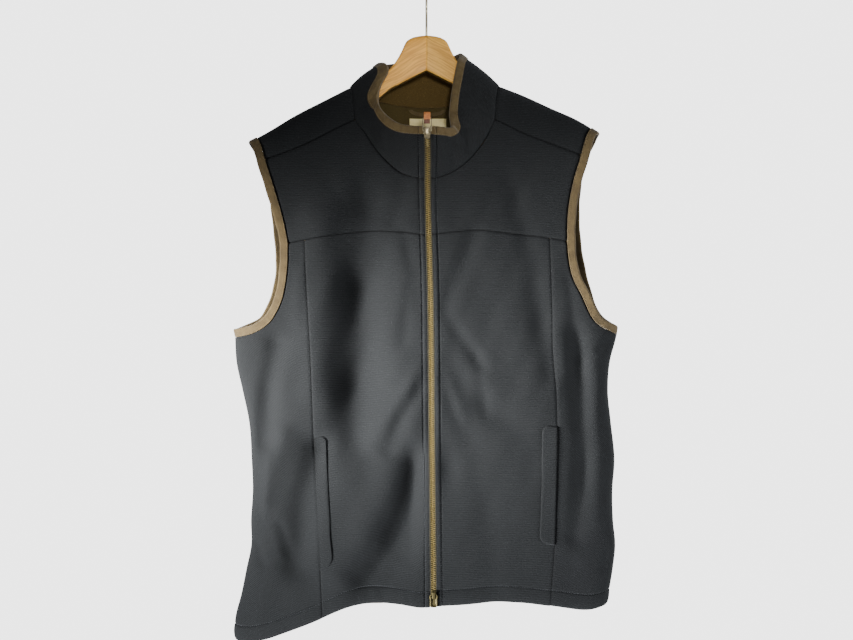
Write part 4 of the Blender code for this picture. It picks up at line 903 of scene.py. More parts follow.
class Graph:
    """A material's nodes, written from texture to shader."""

    def __init__(self, name: str) -> None:
        """Starts a Principled material."""
        self.material = bpy.data.materials.new(name)
        self.material.use_nodes = True
        self.tree = self.material.node_tree
        self.shader = self.tree.nodes["Principled BSDF"]

    def put(self, socket: Socket, value: object) -> None:
        """Links an output to a socket, or sets the socket's own value."""
        if isinstance(value, Socket):
            self.tree.links.new(value, socket)
        else:
            socket.default_value = value

    def node(self, kind: str, settings: dict, inputs: dict) -> bpy.types.Node:
        """Adds a node with its settings and inputs."""
        made = self.tree.nodes.new(kind)
        for key, value in settings.items():
            setattr(made, key, value)
        for key, value in inputs.items():
            self.put(made.inputs[key], value)
        return made

    def place(self, kind: str = "Object") -> Socket:
        """Object coordinates, or the piece's own UV map."""
        return self.node("ShaderNodeTexCoord", {}, {}).outputs[kind]

    def mapped(self, vector: object, scale: Sequence[float], turn: Sequence[float] = (0, 0, 0)) -> object:
        """Coordinates turned and scaled."""
        return self.node("ShaderNodeMapping", {}, {"Vector": vector, "Scale": scale, "Rotation": turn}).outputs[0]

    def noise(self, vector: object, scale: float, detail: float = 3.0, rough: float = 0.55) -> object:
        """Noise from 0 to 1; scale counts its clumps in a metre."""
        return self.node("ShaderNodeTexNoise", {}, {"Vector": vector, "Scale": scale, "Detail": detail,
                                                    "Roughness": rough}).outputs[0]

    def maths(self, operation: str, a: object, b: object = 0.0) -> object:
        """One arithmetic step."""
        return self.node("ShaderNodeMath", {"operation": operation}, {0: a, 1: b}).outputs[0]

    def times(self, a: object, b: object) -> object:
        """A product."""
        return self.maths("MULTIPLY", a, b)

    def plus(self, a: object, b: object) -> object:
        """A sum."""
        return self.maths("ADD", a, b)

    def press(self) -> object:
        """The painted shade in seam and stitch grooves and along welt and binding edges, from the mesh."""
        return self.node("ShaderNodeAttribute", {"attribute_name": "press"}, {}).outputs["Fac"]

    def part(self, vector: object, axis: str) -> object:
        """One coordinate of a vector."""
        return self.node("ShaderNodeSeparateXYZ", {}, {0: vector}).outputs[axis]

    def waves(self, coordinate: object, pitch: float) -> object:
        """A sine from -1 to 1 that repeats every pitch millimetres of a coordinate in metres."""
        return self.maths("SINE", self.times(coordinate, math.tau / (pitch * MM)))

    def ramp(self, value: object, low: float, high: float) -> object:
        """Stretches a range of values to 0 to 1, with smooth ends."""
        return self.node("ShaderNodeMapRange", {"interpolation_type": "SMOOTHSTEP"},
                         {"Value": value, "From Min": low, "From Max": high}).outputs[0]

    def mix(self, share: object, first: object, second: object) -> object:
        """Colours mixed by a share."""
        made = self.tree.nodes.new("ShaderNodeMix")
        made.data_type = "RGBA"
        self.put(made.inputs[0], share)
        for slot, value in ((6, first), (7, second)):
            self.put(made.inputs[slot], value if isinstance(value, Socket) else (*value, 1.0))
        return made.outputs[2]

    def bump(self, height: object, millimetres: float, strength: float = 1.0, under: object = None) -> object:
        """A relief from a height of 0 to 1; several are stacked through under."""
        inputs = {"Height": height, "Distance": millimetres * MM, "Strength": strength}
        if under is not None:
            inputs["Normal"] = under
        return self.node("ShaderNodeBump", {}, inputs).outputs[0]

    def finish(self, colour: object, roughness: object, normal: object, **constants: object) -> Material:
        """Feeds the shader; constants are set on its own sockets."""
        self.put(self.shader.inputs["Base Color"], colour)
        self.put(self.shader.inputs["Roughness"], roughness)
        self.put(self.shader.inputs["Normal"], normal)
        for key, value in constants.items():
            self.shader.inputs[key.replace("_", " ")].default_value = value
        return self.material


Colour = tuple[float, float, float]


@dataclass(frozen=True)
class Fleece:
    """Brushed fleece: fine ribs across the cloth, nap clumps and a mixed-yarn colour."""

    name: str
    dark: Colour
    light: Colour
    rib_pitch: float = 2.45
    rib_height: float = 0.42
    nap: float = 0.3
    sheen: float = 0.1
    sheen_tint: Colour = (0.62, 0.65, 0.7)
    # painted shade: the share of the dark yarn colour that seams, stitches and edges are darkened to
    pressed: float = 0.3

    def make(self) -> Material:
        """Builds the material; the mesh's shade attribute paints shade into seam and stitch grooves."""
        graph = Graph(self.name)
        cloth = graph.place("UV")
        solid = graph.place()
        wander = graph.times(graph.noise(solid, 30.0, 2.0), 0.0014)
        rib_place = graph.plus(graph.part(cloth, "Y"), wander)
        rib = graph.ramp(graph.waves(rib_place, self.rib_pitch), -0.8, 0.7)
        yarn = graph.noise(graph.mapped(cloth, (1.0, 1.9, 1.0)), 520.0, 4.0, 0.75)
        clumps = graph.noise(solid, 1300.0, 2.0, 0.6)
        wear = graph.noise(solid, 14.0, 3.0, 0.5)
        base = graph.mix(graph.ramp(yarn, 0.33, 0.70), self.dark, self.light)
        middle = tuple((d + l) / 2 for d, l in zip(self.dark, self.light))
        base = graph.mix(graph.times(graph.ramp(wear, 0.35, 0.7), 0.12), base, middle)
        # painted shade: the rib troughs take a darker copy of the yarn colour
        rib_shade_tone = tuple(0.62 * (d + 0.35 * (l - d)) for d, l in zip(self.dark, self.light))
        groove = graph.mix(0.5, base, rib_shade_tone)
        colour = graph.mix(rib, groove, base)
        lint = graph.ramp(graph.noise(solid, 760.0, 1.0, 0.4), 0.72, 0.77)
        pale = tuple(min(1.0, 2.6 * c) for c in self.light)
        colour = graph.mix(graph.times(lint, 0.4), colour, pale)
        # painted shade: seams, stitches and edges darkened by the mesh's shade attribute
        press = graph.press()
        colour = graph.mix(press, colour, tuple(self.pressed * c for c in self.dark))
        ribs = graph.bump(rib, self.rib_height, 0.9)
        nap = graph.bump(graph.plus(graph.times(yarn, 0.6), clumps), self.nap, 0.8, ribs)
        rough = graph.plus(0.88, graph.times(clumps, 0.1))
        return graph.finish(colour, rough, nap, Sheen_Weight=self.sheen, Sheen_Roughness=0.5,
                            Sheen_Tint=(*self.sheen_tint, 1.0), Specular_IOR_Level=0.08)


@dataclass(frozen=True)
class KnitTape:
    """Smooth narrow tape: a fine two-way weave, small puckers, and painted shade at the folds and edges that the mesh
    marks.
    """

    name: str
    dark: Colour
    light: Colour
    pitch: float = 0.75
    relief: float = 0.12
    sheen: float = 0.15

    def make(self) -> Material:
        """Builds the material."""
        graph = Graph(self.name)
        cloth = graph.place("UV")
        solid = graph.place()
        across = graph.waves(graph.part(cloth, "X"), self.pitch)
        down = graph.waves(graph.part(cloth, "Y"), self.pitch * 1.3)
        weave = graph.ramp(graph.times(across, down), -0.8, 0.8)
        cloud = graph.noise(solid, 60.0, 5.0, 0.65)
        yarn = graph.noise(solid, 1300.0, 2.0, 0.6)
        tone = graph.plus(graph.times(cloud, 0.65), graph.times(yarn, 0.35))
        colour = graph.mix(graph.ramp(tone, 0.34, 0.66), self.dark, self.light)
        colour = graph.mix(graph.times(weave, 0.25), colour, self.dark)
        # painted shade at the folds and edges that the mesh marks
        press = graph.press()
        colour = graph.mix(press, colour, tuple(0.35 * c for c in self.dark))
        relief = graph.bump(weave, self.relief, 0.7)
        relief = graph.bump(graph.noise(solid, 240.0, 3.0, 0.6), 0.35, 0.5, relief)
        return graph.finish(colour, 0.82, relief, Sheen_Weight=self.sheen, Sheen_Roughness=0.5,
                            Specular_IOR_Level=0.25)


@dataclass(frozen=True)
class Moulded:
    """Moulded plastic with a satin skin and a little dirt."""

    name: str
    dark: Colour
    light: Colour
    roughness: float = 0.38

    def make(self) -> Material:
        """Builds the material."""
        graph = Graph(self.name)
        solid = graph.place()
        cloud = graph.noise(solid, 420.0, 4.0, 0.6)
        colour = graph.mix(graph.ramp(cloud, 0.3, 0.7), self.dark, self.light)
        rough = graph.plus(self.roughness, graph.times(cloud, 0.18))
        return graph.finish(colour, rough, graph.bump(graph.noise(solid, 2600.0, 2.0), 0.03, 0.5),
                            Specular_IOR_Level=0.5)


@dataclass(frozen=True)
class Metal:
    """Satin metal with patina in patches and fine brushing."""

    name: str
    bright: Colour
    patina: Colour
    roughness: float = 0.3
    age: float = 0.5

    def make(self) -> Material:
        """Builds the material."""
        graph = Graph(self.name)
        solid = graph.place()
        cloud = graph.noise(solid, 340.0, 5.0, 0.65)
        aged = graph.times(graph.ramp(cloud, 0.42, 0.66), self.age)
        colour = graph.mix(aged, self.bright, self.patina)
        rough = graph.plus(self.roughness, graph.times(aged, 0.3))
        scratch = graph.noise(graph.mapped(solid, (1.0, 1.0, 0.08)), 3200.0, 2.0)
        return graph.finish(colour, rough, graph.bump(scratch, 0.02, 0.4), Metallic=1.0)


@dataclass(frozen=True)
class Leather:
    """Smooth hide with pores and darker creases."""

    name: str
    dark: Colour
    light: Colour

    def make(self) -> Material:
        """Builds the material."""
        graph = Graph(self.name)
        solid = graph.place()
        cells = graph.node("ShaderNodeTexVoronoi", {"feature": "DISTANCE_TO_EDGE"},
                           {"Vector": solid, "Scale": 1900.0}).outputs[0]
        cloud = graph.noise(solid, 380.0, 4.0, 0.6)
        colour = graph.mix(graph.ramp(cloud, 0.3, 0.7), self.dark, self.light)
        crease = graph.ramp(cells, 0.0, 0.12)
        colour = graph.mix(crease, tuple(0.7 * c for c in self.dark), colour)
        rough = graph.plus(0.42, graph.times(cloud, 0.25))
        relief = graph.bump(crease, 0.06, 0.6, graph.bump(cloud, 0.12, 0.5))
        return graph.finish(colour, rough, relief, Specular_IOR_Level=0.45)


@dataclass(frozen=True)
class Wood:
    """Pale lacquered wood whose grain runs along a slope of the x and z plane."""

    name: str
    dark: Colour
    light: Colour
    slope_degrees: float

    def make(self) -> Material:
        """Builds the material: bands of stretched noise, fine pores and a clear coat."""
        graph = Graph(self.name)
        turned = graph.mapped(graph.place(), (1, 1, 1), (0, math.radians(self.slope_degrees), 0))
        bent = graph.plus(graph.part(turned, "Z"),
                          graph.times(graph.noise(graph.mapped(turned, (1, 1, 1)), 9.0, 2.0), 0.022))
        band = graph.noise(graph.node("ShaderNodeCombineXYZ", {}, {
            0: graph.times(graph.part(turned, "X"), 0.05),
            1: graph.times(graph.part(turned, "Y"), 0.25), 2: bent}).outputs[0], 430.0, 4.0, 0.6)
        pores = graph.noise(graph.mapped(turned, (0.03, 1.0, 1.0)), 2400.0, 3.0, 0.7)
        cloud = graph.noise(graph.place(), 22.0, 3.0)
        colour = graph.mix(graph.ramp(band, 0.34, 0.66), self.light, self.dark)
        colour = graph.mix(graph.times(graph.ramp(pores, 0.52, 0.74), 0.45), colour,
                           tuple(0.6 * c for c in self.dark))
        colour = graph.mix(graph.times(graph.ramp(cloud, 0.35, 0.75), 0.3), colour, self.dark)
        rough = graph.plus(0.4, graph.times(pores, 0.2))
        relief = graph.bump(pores, 0.05, 0.5, graph.bump(band, 0.08, 0.4))
        return graph.finish(colour, rough, relief, Coat_Weight=0.12, Coat_Roughness=0.35,
                            Specular_IOR_Level=0.35)


@dataclass(frozen=True)
class Plain:
    """Matt surface of the studio."""

    name: str
    colour: Colour

    def make(self) -> Material:
        """Builds the material, with a faint mottle."""
        graph = Graph(self.name)
        mottle = graph.noise(graph.place(), 3.0, 2.0)
        colour = graph.mix(mottle, self.colour, tuple(0.985 * c for c in self.colour))
        return graph.finish(colour, 0.9, graph.bump(mottle, 0.1, 0.1))


class Wardrobe:
    """Every finish of the object, made once."""

    def __init__(self) -> None:
        """Makes the materials."""
        finishes = {
            "navy": Fleece("navy_fleece", (0.0066, 0.0071, 0.0075), (0.0215, 0.0230, 0.0243), sheen=0.06),
            "inside": Fleece("olive_inside", (0.040, 0.029, 0.010), (0.085, 0.063, 0.024), 1.6, 0.15, 0.3,
                             0.12, (0.5, 0.42, 0.3)),
            "brown": Fleece("brown_fleece", (0.048, 0.031, 0.009), (0.116, 0.077, 0.026), 2.0, 0.05, 0.6,
                            0.2, (0.6, 0.45, 0.28)),
            "binding": KnitTape("olive_binding", (0.052, 0.034, 0.011), (0.090, 0.061, 0.022)),
            # olive tape of the collar binding and the hanging loop; the shade at its folds is painted through the
            # mesh's shade attribute
            "collar_binding": KnitTape("olive_binding_worn", (0.054, 0.036, 0.012), (0.092, 0.063, 0.023)),
            "tape": KnitTape("zip_tape", (0.012, 0.012, 0.012), (0.035, 0.034, 0.032), 0.9, 0.2, 0.1),
            "thread": KnitTape("navy_thread", (0.012, 0.013, 0.015), (0.040, 0.044, 0.050), 0.3, 0.05),
            "olive_thread": KnitTape("olive_thread", (0.110, 0.078, 0.034), (0.210, 0.155, 0.078), 0.3, 0.05),
            "teeth": Moulded("khaki_teeth", (0.098, 0.069, 0.016), (0.195, 0.141, 0.037), 0.55),
            "slider": Metal("antique_slider", (0.21, 0.18, 0.115), (0.060, 0.050, 0.030), 0.44, 0.6),
            "hook": Metal("hook_wire", (0.66, 0.60, 0.44), (0.42, 0.36, 0.24), 0.42, 0.5),
            "leather": Leather("tan_leather", (0.30, 0.090, 0.018), (0.48, 0.170, 0.042)),
            # painted shade: a dark copy of the leather for the tail behind the bar
            "leather_dark": Leather("leather_tail", (0.10, 0.035, 0.016), (0.17, 0.06, 0.03)),
            "label": KnitTape("cream_label", (0.56, 0.47, 0.22), (0.74, 0.64, 0.33), 0.6, 0.08, 0.05),
            "wood_right": Wood("wood_right_arm", (0.55, 0.240, 0.022), (0.85, 0.43, 0.055), 32.0),
            "wood_left": Wood("wood_left_arm", (0.49, 0.230, 0.024), (0.76, 0.405, 0.062), -28.0),
            # painted shade: a dark copy of the wood for the arms' undersides
            "wood_under": Wood("wood_underside", (0.085, 0.050, 0.012), (0.150, 0.095, 0.026), 0.0),
            "cord": KnitTape("zip_cord", (0.016, 0.014, 0.008), (0.034, 0.030, 0.017), 0.6, 0.1, 0.05),
            "brass": Metal("dull_brass", (0.115, 0.096, 0.044), (0.045, 0.038, 0.018), 0.52, 0.6),
            "bridge": Metal("worn_bridge", (0.60, 0.52, 0.33), (0.30, 0.25, 0.14), 0.36, 0.5),
            "studio": Plain("pale_studio", (0.80, 0.80, 0.80)),
        }
        self.made = {key: finish.make() for key, finish in finishes.items()}

    def __getitem__(self, key: str) -> Material:
        """The material of a finish."""
        return self.made[key]


class Studio:
    """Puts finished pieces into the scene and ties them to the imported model."""

    def __init__(self, wardrobe: Wardrobe) -> None:
        """Starts a collection for the pieces."""
        self.wardrobe = wardrobe
        self.home = bpy.data.collections.new("looks")
        bpy.context.scene.collection.children.link(self.home)

    def add(self, mesh: Mesh, finishes: Sequence[str], slot: str, nodes: Sequence[str] = (),
            body: str = "garment") -> Piece:
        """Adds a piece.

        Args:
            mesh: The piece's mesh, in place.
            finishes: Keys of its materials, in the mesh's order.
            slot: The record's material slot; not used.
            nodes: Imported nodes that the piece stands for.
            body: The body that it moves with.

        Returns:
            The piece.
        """
        for key in finishes:
            mesh.materials.append(self.wardrobe[key])
        piece = bpy.data.objects.new(mesh.name, mesh)
        self.home.objects.link(piece)
        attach(piece, body)
        if nodes:
            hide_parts(*nodes)
        LOG.info("%s: %d faces", piece.name, len(mesh.polygons))
        return piece


@dataclass
class Sewing:
    """Rows of thread stitches, each a small rounded capsule whose ends dip into the cloth."""

    pitch: float = 3.3
    length: float = 2.7
    radius: float = 0.30
    above: float = 0.12

    def capsule(self) -> tuple[Array, Array, list[list[int]]]:
        """One stitch along +X: four rings of five, whose ends are lower and narrower."""
        turn = np.arange(5) * math.tau / 5
        stations = np.array([-0.5, -0.3, 0.3, 0.5]) * self.length
        sizes = np.array([0.55, 1.0, 1.0, 0.55]) * self.radius
        heights = np.array([-0.45, self.above, self.above, -0.45])
        rings = pack(np.repeat(stations, 5), np.outer(sizes, np.cos(turn)).ravel(),
                     np.outer(sizes, np.sin(turn)).ravel() + np.repeat(heights, 5))
        return rings, grid_quads(4, 5, wrap=True), [[0, 1, 2, 3, 4], [19, 18, 17, 16, 15]]

    def mesh(self, name: str, rows: Sequence[tuple[Array, Array]]) -> Mesh:
        """All stitches of some rows as one mesh: copies of the capsule set in each stitch's own axes.

        Args:
            name: The mesh's name.
            rows: Pairs of points and normals along each sewn line.

        Returns:
            The joined mesh.
        """
        middles, runs, ups = [], [], []
        for points, normals in rows:
            path, lean = resample(points, self.pitch / 6, normals)
            run = arc_length(path, 0)
            at = np.arange(self.pitch / 2, run[-1] - self.pitch / 3, self.pitch)
            spot = np.clip(np.searchsorted(run, at), 1, len(run) - 2)
            middles.append(path[spot])
            runs.append(unit(path[spot + 1] - path[spot - 1]))
            ups.append(unit(lean[spot]))
        middle, run, up = (np.concatenate(item) for item in (middles, runs, ups))
        side = unit(np.cross(up, run))
        shape, quads, caps = self.capsule()
        vertices = (middle[:, None] + run[:, None] * shape[None, :, :1] + side[:, None] * shape[None, :, 1:2]
                    + up[:, None] * shape[None, :, 2:])
        offset = (np.arange(len(middle)) * len(shape))[:, None, None]
        faces = (quads[None] + offset).reshape(-1, 4)
        ends = (np.array(caps)[None] + offset).reshape(-1, 5)
        mesh = make_mesh(name, vertices.reshape(-1, 3), faces, ends.tolist())
        face_out(mesh)
        return mesh


def sew_binding(studio: Studio, name: str, edge: Array, lean: Array) -> Piece:
    """A fine row of olive stitches along a binding's edge."""
    mesh = Sewing(radius=0.22, pitch=2.8, length=2.2).mesh(f"{name}_stitches", [(edge, lean)])
    return studio.add(mesh, ("olive_thread",), "olive_binding")


@dataclass
class Panels:
    """Fronts, yokes and back as thin shells with pressed seams, topstitching and a turned hem."""

    pattern: Pattern
    cloth: float = 2.4
    hem_cloth: float = 4.4
    hem_band: float = 22.0
    step: float = 3.4
    back_step: float = 4.2
    seam_depth: float = 1.7
    seam_ease: float = 2.1
    fold_depth: float = 1.3
    topstitch: float = 7.0
    stitch_depth: float = 1.0
    stitch_width: float = 1.1
    placket_puff: float = 0.7
    centre_width: float = 164.0
    flank_width: float = 100.0
    yoke_width: float = 205.0
    yoke_height: float = 120.0
    strap_width: float = 130.0
    strap_length: float = 70.0
    neck_width: float = 214.0
    armhole_height: float = 310.0
    side_height: float = 415.0
    grids: dict = field(default_factory=dict)

    def sewn_edge(self, distance: Array, depth: float) -> Array:
        """How far a seam pulls the cloth down, fading with the distance from it."""
        return -depth * np.exp(-(distance / self.seam_ease) ** 1.5)

    def stitched(self, distance: Array, at: float) -> Array:
        """A pressed groove at a stitch line, and soft puff between it and the edge."""
        groove = -self.stitch_depth * np.exp(-((distance - at) / self.stitch_width) ** 2)
        puff = self.placket_puff * np.sin(np.clip(distance / at, 0, 1) * math.pi)
        return groove + puff

    def patch(self, points: Array, hint: Sequence[float], seams: dict, stitches: dict, hem: bool) -> Patch:
        """Dresses a grid.

        Args:
            points: The panel's surface.
            hint: Direction that it faces.
            seams: Depth share of each sewn edge, by its letter: t, b, l or r.
            stitches: Distance of a stitch line from an edge's letter.
            hem: Whether the bottom edge is a turned hem.

        Returns:
            The patch, with its lift, map and painted shade.
        """
        normals = grid_normals(points, hint)
        across = arc_length(points, 1)
        down = arc_length(points, 0)
        distance = {"l": across, "r": across[:, -1:] - across, "t": down, "b": down[-1:] - down}
        lift = np.zeros(points.shape[:2])
        press = np.zeros(points.shape[:2])
        for letter, share in seams.items():
            lift += self.sewn_edge(distance[letter], share * self.seam_depth)
            # painted shade in the seam's groove
            press = np.maximum(press, 0.95 * np.exp(-(distance[letter] / (1.2 * share)) ** 2))
        for letter, at in stitches.items():
            lift += self.stitched(distance[letter], at)
            # painted shade along the stitch line's groove
            press = np.maximum(press, 0.8 * np.exp(-((distance[letter] - at) / 0.75) ** 2))
        wall = np.full(points.shape[:2], self.cloth)
        if hem:
            lift += self.sewn_edge(distance["b"], self.fold_depth)
            band = np.clip(distance["b"] / self.hem_band, 0, 1)
            lift += np.sin(math.pi * band) * (0.5 + 0.22 * np.sin(across / 2.7) * np.sin(across / 19.0))
            turned = smoothstep((self.hem_band + 1 - distance["b"]) / 2)
            wall = wall + (self.hem_cloth - self.cloth) * turned
        level = down + points[0, :, 2].max() - points[:1, :, 2]
        uv = pack(across, level) * MM
        return Patch(points, normals, wall, lift, uv, press)

    def column_near(self, patch: Patch, letter: str, at: float) -> tuple[Array, Array]:
        """The outer line at a distance from the left or right edge, with its normals."""
        run = arc_length(patch.points, 1)
        run = run if letter == "l" else run[:, -1:] - run
        index = int(np.argmin(np.abs(run.mean(axis=0) - at)))
        return patch.outer[:, index], patch.normals[:, index]

    def row_near(self, patch: Patch, at: float) -> tuple[Array, Array]:
        """The outer line at a distance above the bottom edge, with its normals."""
        run = arc_length(patch.points, 0)
        run = run[-1:] - run
        index = int(np.argmin(np.abs(run.mean(axis=1) - at)))
        return patch.outer[index], patch.normals[index]

    def front_rows(self) -> Array:
        """Shares down a front, close together at the seams, the underarm and the hem line."""
        rows = spaced(FRONT_HEIGHT, self.step, [0, 2, FRONT_HEIGHT - self.hem_band, FRONT_HEIGHT])
        return np.unique(np.append(rows, UNDERARM_SHARE))

    def plain(self, length: float) -> Array:
        """Shares along a length, close together at both ends."""
        return spaced(length, self.step, [0, length])

    def cut(self) -> dict[str, list[Patch]]:
        """Lays out every panel."""
        cuts = {}
        ahead = (0, -1, 0)
        rows = self.front_rows()
        for side in Side:
            columns = spaced(self.centre_width, self.step, [0, self.topstitch, self.centre_width])
            centre = self.pattern.centre(side, columns, rows)
            stitches = {"l": self.topstitch, "b": self.hem_band}
            self.grids["centre", side] = self.patch(centre, ahead, {"t": 1.0, "r": 0.55}, stitches, True)
            flank = self.pattern.flank(side, self.plain(self.flank_width), rows)
            stitches = {"b": self.hem_band}
            seams = {"t": 1.0, "l": 0.55, "r": 0.8}
            self.grids["side", side] = self.patch(flank, ahead, seams, stitches, True)
            yoke = self.pattern.yoke(side, self.yoke_places(), self.plain(self.yoke_height))
            seams = {"t": 1.0, "b": 1.0, "r": 0.8}
            self.grids["yoke", side] = self.patch(yoke, ahead, seams, {"l": self.topstitch}, False)
            for key in ("centre", "side", "yoke"):
                cuts[f"front_{side.word}_{key}"] = [self.grids[key, side]]
        cuts["back"] = self.cut_back()
        return cuts

    def yoke_places(self) -> Array:
        """Column places over a yoke, close together at the zip and the armhole."""
        shares = spaced(self.yoke_width, self.step, [0, self.topstitch, self.yoke_width])
        return np.unique(np.append(shares * 11, CORNER_COLUMN))

    def cut_back(self) -> list[Patch]:
        """The back and its two parts over the shoulders, which share the ridge's points."""
        strap = spaced(self.strap_width, self.back_step, [0, self.strap_width]) * (STRAP_COLUMNS - 1)
        neck = spaced(self.neck_width, self.back_step, []) * (BACK_NECK_COLUMNS + 1)
        places = chain((STRAP_COLUMNS - 1) - strap[::-1], neck[1:-1] + STRAP_COLUMNS - 1,
                       strap + STRAP_COLUMNS + BACK_NECK_COLUMNS)
        upper = spaced(self.armhole_height, self.back_step, [0])
        lower = spaced(self.side_height, self.back_step, [self.side_height - self.hem_band, self.side_height])
        points = self.pattern.back(places, upper, lower)
        back = self.patch(points, (0, 1, 0), {"l": 0.8, "r": 0.8}, {"b": self.hem_band}, True)
        back.lift[0, len(strap):-len(strap)] -= self.seam_depth
        self.grids["back"] = back
        self.grids["underarm_row"] = len(upper) - 1
        patches = [back]
        rows = spaced(self.strap_length, self.back_step, [self.strap_length])
        for side in Side:
            ridge = slice(len(strap) - 1, None, -1) if side is Side.RIGHT else slice(-len(strap), None)
            piece = self.pattern.strap(side, strap, rows)
            piece[0] = points[0, ridge]
            patch = self.patch(piece, (0, -0.5, 1), {"b": 1.0, "r": 0.8}, {}, False)
            patch.lift += self.sewn_edge(arc_length(piece, 1), self.seam_depth)
            patch.lift[0] = back.lift[0, ridge]
            patch.uv[..., 1] *= -1
            self.grids["strap", side] = patch
            patches.append(patch)
        return patches

    def declare(self, piece: Piece, patches: Sequence[Patch], extras: Sequence) -> None:
        """Works out a panel's cut, its widest row by its longest column and the area of its grid, but keeps none of
        it.
        """
        width = max(float(arc_length(patch.points, 1)[:, -1].max()) for patch in patches) * MM
        length = sum(float(arc_length(patch.points, 0)[-1].max()) for patch in patches[:2]) * MM
        area = 0.0
        for patch in patches:
            p = patch.points
            area += float(np.linalg.norm(np.cross(p[1:, 1:] - p[:-1, :-1], p[1:, :-1] - p[:-1, 1:]),
                                         axis=-1).sum()) / 2 * MM * MM
        length = max(length, area / width)

    def build(self, studio: Studio) -> None:
        """Makes the panels and their stitching."""
        sewing = Sewing()
        for name, patches in self.cut().items():
            mesh = cloth_mesh(f"{name}_cloth", patches)
            piece = studio.add(mesh, ("navy", "inside"), "navy_fleece", (name,))
            rows = []
            if not name.endswith("yoke"):
                rows.append(self.row_near(patches[0], self.hem_band))
            if name.endswith(("centre", "yoke")):
                rows.append(self.column_near(patches[0], "l", self.topstitch))
            thread = studio.add(sewing.mesh(f"{name}_stitches", rows), ("thread",), "navy_fleece")
            self.declare(piece, patches, [thread])

    def armhole(self, side: Side) -> tuple[Array, Array]:
        """Points and normals round an armhole: down the front, under the arm and up the back."""
        rows = self.front_rows()
        under = int(np.searchsorted(rows, UNDERARM_SHARE))
        yoke, flank, back = self.grids["yoke", side], self.grids["side", side], self.grids["back"]
        strap = self.grids["strap", side]
        edge = 0 if side is Side.RIGHT else -1
        last = self.grids["underarm_row"]
        parts = []
        for kind in ("points", "normals"):
            parts.append(chain(getattr(yoke, kind)[:, -1], getattr(flank, kind)[1:under + 1, -1],
                               getattr(back, kind)[:last, edge][::-1],
                               getattr(strap, kind)[1:-1, -1]))
        return parts[0], parts[1]


@dataclass
class Welts:
    """Raised pocket welts with rounded inner corners, over an open edge at the princess seam."""

    pattern: Pattern
    width_share: float = 0.125
    thick: float = 2.1
    corner: float = 10.5
    gap: float = 0.3

    def surface(self, side: Side, across: Array, down: Array) -> Array:
        """Panel points at shares across the welt, from the seam, and shares of the panel's height."""
        columns = 1 - self.width_share * across
        dense = np.linspace(WELT_SPAN[side][0] - 0.02, WELT_SPAN[side][1] + 0.02, 160)
        rows = np.unique(chain([0.0], dense, [1.0]))
        order = np.unique(chain([0.0], columns, [1.0]))
        grid = self.pattern.centre(side, order, rows)
        picked = grid[:, np.searchsorted(order, columns)]
        result = np.empty((*down.shape, 3))
        for k in range(3):
            for c in range(down.shape[1]):
                result[:, c, k] = np.interp(down[:, c], rows, picked[:, c, k])
        return result

    def build(self, studio: Studio) -> None:
        """Makes both welts.

        The welt's lift over the panel is its thickness times a quarter ellipse near each edge.
        """
        for side in Side:
            across = np.unique(chain(np.linspace(0, 1, 17), [0.02, 0.04, 0.96, 0.98]))
            top, bottom = WELT_SPAN[side]
            height = (bottom - top) * FRONT_HEIGHT
            bend = np.clip((across - 0.5) / 0.5, 0, 1)
            cut = self.corner * (1 - np.sqrt(1 - bend * bend)) / height
            t = spaced(height, 3.0, [0, height])[:, None]
            down = top + (cut + (1 - 2 * cut) * t) * (bottom - top)
            points = self.surface(side, across, down)
            normals = grid_normals(points, (0, -1, 0))
            run = arc_length(points, 1)
            fall = arc_length(points, 0)
            inner = run[:, -1:] - run
            near = np.minimum(inner, np.minimum(fall, fall[-1:] - fall))
            soft = np.sqrt(1 - (1 - np.clip(near / 4.6, 0, 1)) ** 2)
            open_edge = np.sqrt(1 - (1 - np.clip(run / 2.4, 0, 1)) ** 2)
            lift = self.gap + self.thick * np.minimum(soft, 0.35 + 0.65 * open_edge)
            lift += 0.18 * np.sin(fall / 11.0) * soft
            wall = np.full(lift.shape, -0.15)
            # painted shade: a dark line round the welt's edges, darkest along the open edge at the seam
            press = 0.55 * np.exp(-(near / 0.7) ** 2)
            press = np.maximum(press, 0.97 * np.exp(-(run / 1.7) ** 2))
            patch = Patch(points, normals, wall, lift, flat_map(points), press)
            mesh = cloth_mesh(f"pocket_welt_{side.word}_cloth", [patch])
            studio.add(mesh, ("navy", "navy"), "navy_fleece", (f"pocket_welt_{side.word}",))


